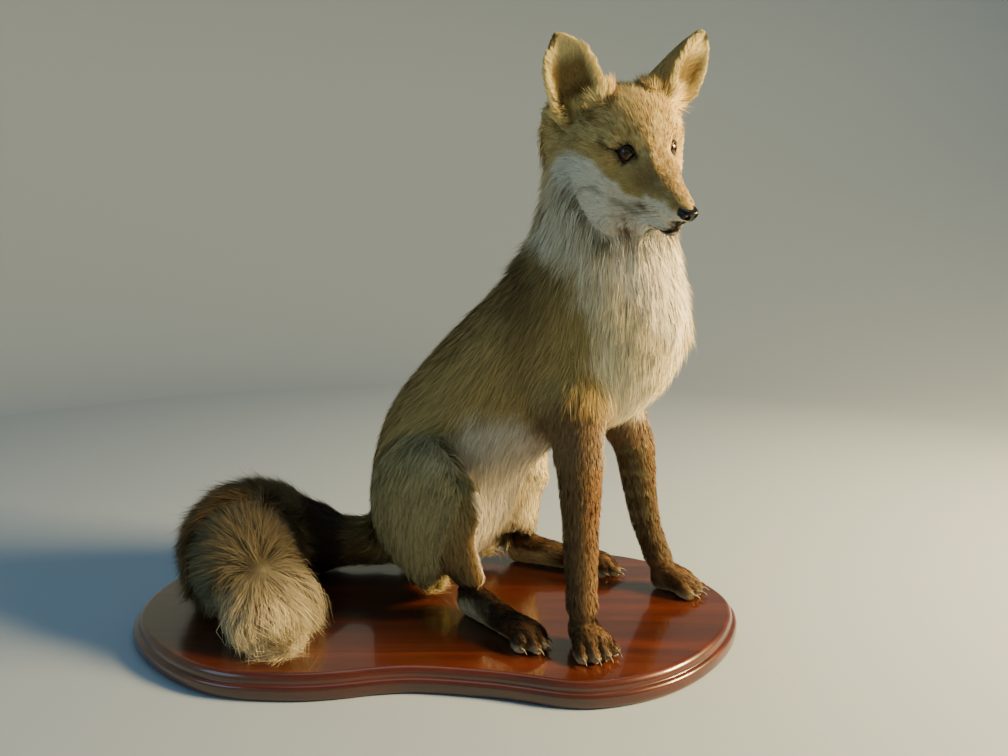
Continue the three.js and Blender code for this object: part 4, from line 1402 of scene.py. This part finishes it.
# whiskers and claws
# Horn: claws and whiskers are dense keratin, smooth and slightly see-through, duller at the root.
horn, hornTree, hornShader = newMaterial("horn", Roughness=0.35, IOR=1.55)
hornSpace = addNode(hornTree, "ShaderNodeTexCoord")
hornNoise = addNode(
    hornTree, "ShaderNodeTexNoise", inputs={"Scale": 260.0, "Detail": 2.0},  # cloudy patches 4 mm across
    links={"Vector": hornSpace.outputs["Object"]},
)
hornRamp = setRamp(
    addNode(hornTree, "ShaderNodeValToRGB", links={"Fac": hornNoise.outputs["Fac"]}),
    [(0.3, "#574c3e"), (0.7, "#94897a")],
)
hornTree.links.new(hornRamp.outputs["Color"], hornShader.inputs["Base Color"])

whiskerMaterial, _, whiskerShader = newMaterial("whiskerKeratin", Roughness=0.4, IOR=1.55)
whiskerShader.inputs["Base Color"].default_value = hexToLinear("#1c1410")


def taperedTube(path, radii, sides):
    # rings round a path of points, closed to a point at the last one
    path = np.asarray(path, float)
    rings = []
    for i, p in enumerate(path):
        along = unit(path[min(i + 1, len(path) - 1)] - path[max(i - 1, 0)])
        a = unit(np.cross(along, [0.31, 0.2, 0.93]))
        b = np.cross(along, a)
        for k in range(sides):
            c = 2 * math.pi * k / sides
            rings.append(p + (a * math.cos(c) + b * math.sin(c)) * radii[i])
    faces = bands(len(path), sides)
    faces.append(tuple(range(sides))[::-1])
    faces.append(tuple(range((len(path) - 1) * sides, len(path) * sides)))
    return rings, faces


def joinedTubes(tubes):
    points, faces = [], []
    for rings, own in tubes:
        first = len(points)
        points += list(rings)
        faces += [tuple(first + i for i in f) for f in own]
    return points, faces


whiskerSet = {
    "perSide": 11, "short": 26, "long": 52, "radius": 0.16, "thin": 0.85,
    "front": 78, "row": 22, "out": 11, "wider": 3.5, "high": -24, "rowStep": 4,
}


def buildWhiskers():
    draw = np.random.default_rng(41)
    tubes = []
    for s in (1, -1):
        for i in range(whiskerSet["perSide"]):
            t = i / (whiskerSet["perSide"] - 1)
            ahead = whiskerSet["front"] - whiskerSet["row"] * t + draw.normal(0, 1)
            out = s * (whiskerSet["out"] + whiskerSet["wider"] * t)
            high = whiskerSet["high"] - whiskerSet["rowStep"] * (i % 3) + draw.normal(0, 0.6)
            root = np.array([ahead, out, high])
            more = whiskerSet["long"] - whiskerSet["short"]
            long = whiskerSet["short"] + more * t * draw.uniform(0.8, 1.0)
            way = unit(np.array([-0.75 + draw.normal(0, 0.08), s * 0.8, -0.18 + draw.normal(0, 0.1)]))
            bend = np.array([-0.25, 0, -0.32])
            path = [root + way * long * u + bend * long * u * u * 0.5 for u in np.linspace(0, 1, 7)]
            radii = [whiskerSet["radius"] * (1 - whiskerSet["thin"] * u) for u in np.linspace(0, 1, 7)]
            tubes.append(taperedTube(path, radii, 4))
    points, faces = joinedTubes(tubes)
    made = newObject("whiskers", fromFrame(headPlace, points), faces, whiskerMaterial)
    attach(made, "root")


buildWhiskers()


clawSet = {"radius": 1.5, "taper": 0.86, "arch": 1.1, "share": 0.82}


def buildClaws():
    tubes, names = [], []
    for name in sorted(nodes):
        if not name.startswith("claw"):
            continue
        names.append(name)
        local = intoFrame(foxPlace, verticesOf(nodes[name].data))
        foot = name.replace("claw", "foot" if "hind" in name else "paw")[:-2]
        line = np.array(lines[foot], float)
        ahead = unit((line[-1] - line[0]) * (1, 1, 0))
        reach = local @ ahead
        root = local[reach < reach.min() + 1.5].mean(0)
        tip = local[reach > reach.max() - 0.6].mean(0)
        path, radii = [], []
        for u in np.linspace(-0.25, 1, 7):
            p = root + (tip - root) * u * clawSet["share"]
            p[2] += clawSet["arch"] * math.sin(math.pi * max(u, 0)) + 0.2
            path.append(p)
            radii.append(clawSet["radius"] * (1 - clawSet["taper"] * max(u, 0) ** 1.2))
        tubes.append(taperedTube(path, radii, 10))
    points, faces = joinedTubes(tubes)
    made = newObject("claws", fromFrame(foxPlace, points), faces, horn)
    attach(made, "root")
    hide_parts(*names)


buildClaws()
print("claws and whiskers made")

# plaque
plaqueSet = {
    "around": 8, "plank": 74, "seam": 0.5, "light": "#642c15", "mid": "#481d0c", "dark": "#2b1208",
    "bead": 6.3,
    "routed": [  # inset and height: a rounded foot, a flat and a step, with the bead above them
        (3.2, 0), (1.2, 0.6), (0.2, 2.0), (0, 4.0), (0.2, 9.6),
        (0.9, 11.6), (2.4, 12.9), (4.2, 13.4), (4.9, 13.5), (5.1, 14.6),
    ],
}

# Cherry or mahogany planks glued edge to edge, stained red-brown and varnished: long grain, deep gloss.
varnish, woodTree, woodShader = newMaterial("varnishedCherryWood", Roughness=0.32, IOR=1.5)
woodShader.inputs["Coat Weight"].default_value = 1.0
woodShader.inputs["Coat Roughness"].default_value = 0.06
woodSpace = addNode(woodTree, "ShaderNodeTexCoord")
woodApart = addNode(woodTree, "ShaderNodeSeparateXYZ", links={"Vector": woodSpace.outputs["Object"]})
plankRun = addNode(
    woodTree, "ShaderNodeMath", {"operation": "MULTIPLY_ADD"}, {1: 1000 / plaqueSet["plank"], 2: 10.37},
    {0: woodApart.outputs["Y"]},
)
plankNumber = addNode(woodTree, "ShaderNodeMath", {"operation": "FLOOR"}, links={0: plankRun.outputs[0]})
plankShare = addNode(woodTree, "ShaderNodeMath", {"operation": "FRACT"}, links={0: plankRun.outputs[0]})
plankTone = addNode(
    woodTree, "ShaderNodeTexWhiteNoise", {"noise_dimensions": "1D"}, links={"W": plankNumber.outputs[0]},
)
grainShift = addNode(
    woodTree, "ShaderNodeCombineXYZ", inputs={"Y": 0.0},
    links={"X": plankTone.outputs["Value"], "Z": plankNumber.outputs[0]},
)
grainPlace = addNode(
    woodTree, "ShaderNodeVectorMath", {"operation": "ADD"},
    links={0: woodSpace.outputs["Object"], 1: grainShift.outputs[0]},
)
grainSquash = addNode(
    woodTree, "ShaderNodeMapping", inputs={"Scale": (2.2, 42.0, 42.0)},  # figure 24 mm wide, 20 times as long
    links={"Vector": grainPlace.outputs[0]},
)
grainBig = addNode(
    woodTree, "ShaderNodeTexNoise",
    inputs={"Scale": 1.0, "Detail": 4.0, "Roughness": 0.55, "Distortion": 0.6},
    links={"Vector": grainSquash.outputs[0]},
)
poreSquash = addNode(
    woodTree, "ShaderNodeMapping", inputs={"Scale": (28.0, 900.0, 900.0)},  # pores 1 mm apart, 35 mm long
    links={"Vector": grainPlace.outputs[0]},
)
pores = addNode(
    woodTree, "ShaderNodeTexNoise", inputs={"Scale": 1.0, "Detail": 2.0},
    links={"Vector": poreSquash.outputs[0]},
)
woodRamp = setRamp(
    addNode(woodTree, "ShaderNodeValToRGB", links={"Fac": grainBig.outputs["Fac"]}),
    [(0.22, plaqueSet["dark"]), (0.5, plaqueSet["mid"]), (0.8, plaqueSet["light"])],
)
toneRange = addNode(
    woodTree, "ShaderNodeMapRange", inputs={"To Min": 0.72, "To Max": 1.2},
    links={"Value": plankTone.outputs["Value"]},
)
poreRange = addNode(
    woodTree, "ShaderNodeMapRange",
    inputs={"From Min": 0.35, "From Max": 0.6, "To Min": 0.82, "To Max": 1.04},
    links={"Value": pores.outputs["Fac"]},
)
toneBoth = addNode(
    woodTree, "ShaderNodeMath", {"operation": "MULTIPLY"},
    links={0: toneRange.outputs[0], 1: poreRange.outputs[0]},
)
seamNear = addNode(
    woodTree, "ShaderNodeMath", {"operation": "PINGPONG"}, {1: 0.5}, {0: plankShare.outputs[0]},
)
seamShare = plaqueSet["seam"] / plaqueSet["plank"] * 2
seamTone = addNode(
    woodTree, "ShaderNodeMapRange",
    inputs={"From Min": 0.0, "From Max": seamShare, "To Min": 0.55, "To Max": 1.0},
    links={"Value": seamNear.outputs[0]},
)
toneAll = addNode(
    woodTree, "ShaderNodeMath", {"operation": "MULTIPLY"},
    links={0: toneBoth.outputs[0], 1: seamTone.outputs[0]},
)
toneColour = addNode(
    woodTree, "ShaderNodeCombineColor",
    links={channel: toneAll.outputs[0] for channel in ("Red", "Green", "Blue")},
)
woodMix = addNode(
    woodTree, "ShaderNodeMix", {"data_type": "RGBA", "blend_type": "MULTIPLY"}, {"Factor": 1.0},
    {"A": woodRamp.outputs["Color"], "B": toneColour.outputs["Color"]},
)
woodTree.links.new(woodMix.outputs["Result"], woodShader.inputs["Base Color"])
woodBump = addNode(
    woodTree, "ShaderNodeBump", inputs={"Strength": 0.08, "Distance": 0.0003},
    links={"Height": pores.outputs["Fac"]},
)
woodTree.links.new(woodBump.outputs["Normal"], woodShader.inputs["Normal"])


def periodicCurve(ring, steps):
    # closed smooth curve through the ring's points
    a, b, c, d = [np.roll(ring, s, axis=0) for s in (1, 0, -1, -2)]
    pieces = []
    for t in np.arange(steps) / steps:
        bend, twist = 2 * a - 5 * b + 4 * c - d, 3 * b - a - 3 * c + d
        pieces.append(0.5 * (2 * b + (c - a) * t + bend * t ** 2 + twist * t ** 3))
    return np.stack(pieces, 1).reshape(-1, ring.shape[1])


def buildPlaque():
    solid = verticesOf(nodes["stand_base"].data)
    levels = sorted(set(np.round(solid[:, 2] * 1000, 1)))
    outlines = []
    for level in levels:
        ring = solid[np.abs(solid[:, 2] * 1000 - level) < 0.06]
        ring = np.unique(np.round(ring[:, :2], 6), axis=0)
        ring = ring[np.hypot(*ring.T) > 0.06]  # leaves out the middle point of the top and underside
        ring = ring[np.argsort(np.arctan2(ring[:, 1], ring[:, 0]))]
        outlines.append(periodicCurve(ring, plaqueSet["around"]))
    outer = outlines[int(np.argmax([np.abs(o[:, 0]).max() for o in outlines]))]
    tangent = unit(np.roll(outer, -1, 0) - np.roll(outer, 1, 0))
    inward = np.stack([-tangent[:, 1], tangent[:, 0]], 1)
    high = plaqueTop / mm
    profile = list(plaqueSet["routed"])
    inset, low = profile[-1]
    for a in np.linspace(0.12, math.pi / 2, 9):
        profile.append((inset + plaqueSet["bead"] * (1 - math.cos(a)), low + (high - low) * math.sin(a)))
    count = len(outer)
    points = []
    for inset, level in profile:
        flat = outer + inward * inset * mm
        points += [(x, y, level * mm) for x, y in flat]
    faces = bands(len(profile), count)
    faces.append(tuple(range(count))[::-1])
    faces.append(tuple(range((len(profile) - 1) * count, len(profile) * count)))
    made = newObject("plaque", points, faces, varnish)
    for polygon in made.data.polygons:
        polygon.use_smooth = len(polygon.vertices) == 4
    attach(made, "root")
    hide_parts("stand_base")


buildPlaque()
print("plaque made")

# setting and light
settingSet = {"tone": "#a2b4ca", "radius": 2.6, "rise": 2.6, "around": 72}

# Matt painted card: even and pale, so that only the animal carries detail.
card, _, cardShader = newMaterial("mattCard", Roughness=0.95, IOR=1.45)
cardShader.inputs["Base Color"].default_value = hexToLinear(settingSet["tone"])
cardShader.inputs["Specular IOR Level"].default_value = 0.1


def buildSetting():
    # round floor that curves up into a wall on every side
    radius, rise, around = settingSet["radius"], settingSet["rise"], settingSet["around"]
    bends = np.linspace(0, math.pi / 2, 12)
    flat, bend = 0.6 * radius, 0.4 * radius
    profile = [(flat, 0.0)] + [(flat + bend * math.sin(a), bend * (1 - math.cos(a))) for a in bends[1:]]
    profile.append((radius, rise))
    points = [
        (r * math.cos(2 * math.pi * i / around), r * math.sin(2 * math.pi * i / around), z - 0.0004)
        for r, z in profile for i in range(around)
    ]
    # turned over, since the room is seen from inside
    faces = [tuple(range(around))] + [(b, a, d, c) for a, b, c, d in bands(len(profile), around)]
    backdrop = newObject("backdrop", points, faces, card)
    backdrop.data.polygons[0].use_smooth = False


buildSetting()


lightSet = {
    "warmKey": dict(at=(1.6, -0.25, 0.9), aim=(0.1, 0.12, 0.3), size=(0.5, 0.33), watts=122, tint="#ffd995"),
    "coolFill": dict(at=(-1.35, -0.9, 1.0), aim=(0, 0, 0.25), size=(0.8, 0.8), watts=4, tint="#8fd0f0"),
    "topSoft": dict(at=(0.1, 0.3, 1.7), aim=(0, 0.05, 0.2), size=(1.4, 1.0), watts=3.5, tint="#e8f2f4"),
}
roomSet = {"tint": "#92d2ea", "strength": 0.16}

for name, spec in lightSet.items():
    data = bpy.data.lights.new(name, "AREA")
    data.shape = "RECTANGLE"
    data.size, data.size_y = spec["size"]
    data.energy = spec["watts"]
    data.color = hexToLinear(spec["tint"])[:3]
    light = bpy.data.objects.new(name, data)
    light.location = spec["at"]
    toAim = Vector(spec["aim"]) - Vector(spec["at"])
    light.rotation_euler = toAim.to_track_quat("-Z", "Y").to_euler()
    scene.collection.objects.link(light)

world = bpy.data.worlds.new("softRoom")
world.use_nodes = True
world.node_tree.nodes["Background"].inputs["Color"].default_value = hexToLinear(roomSet["tint"])
world.node_tree.nodes["Background"].inputs["Strength"].default_value = roomSet["strength"]
scene.world = world
print("setting and lights made")
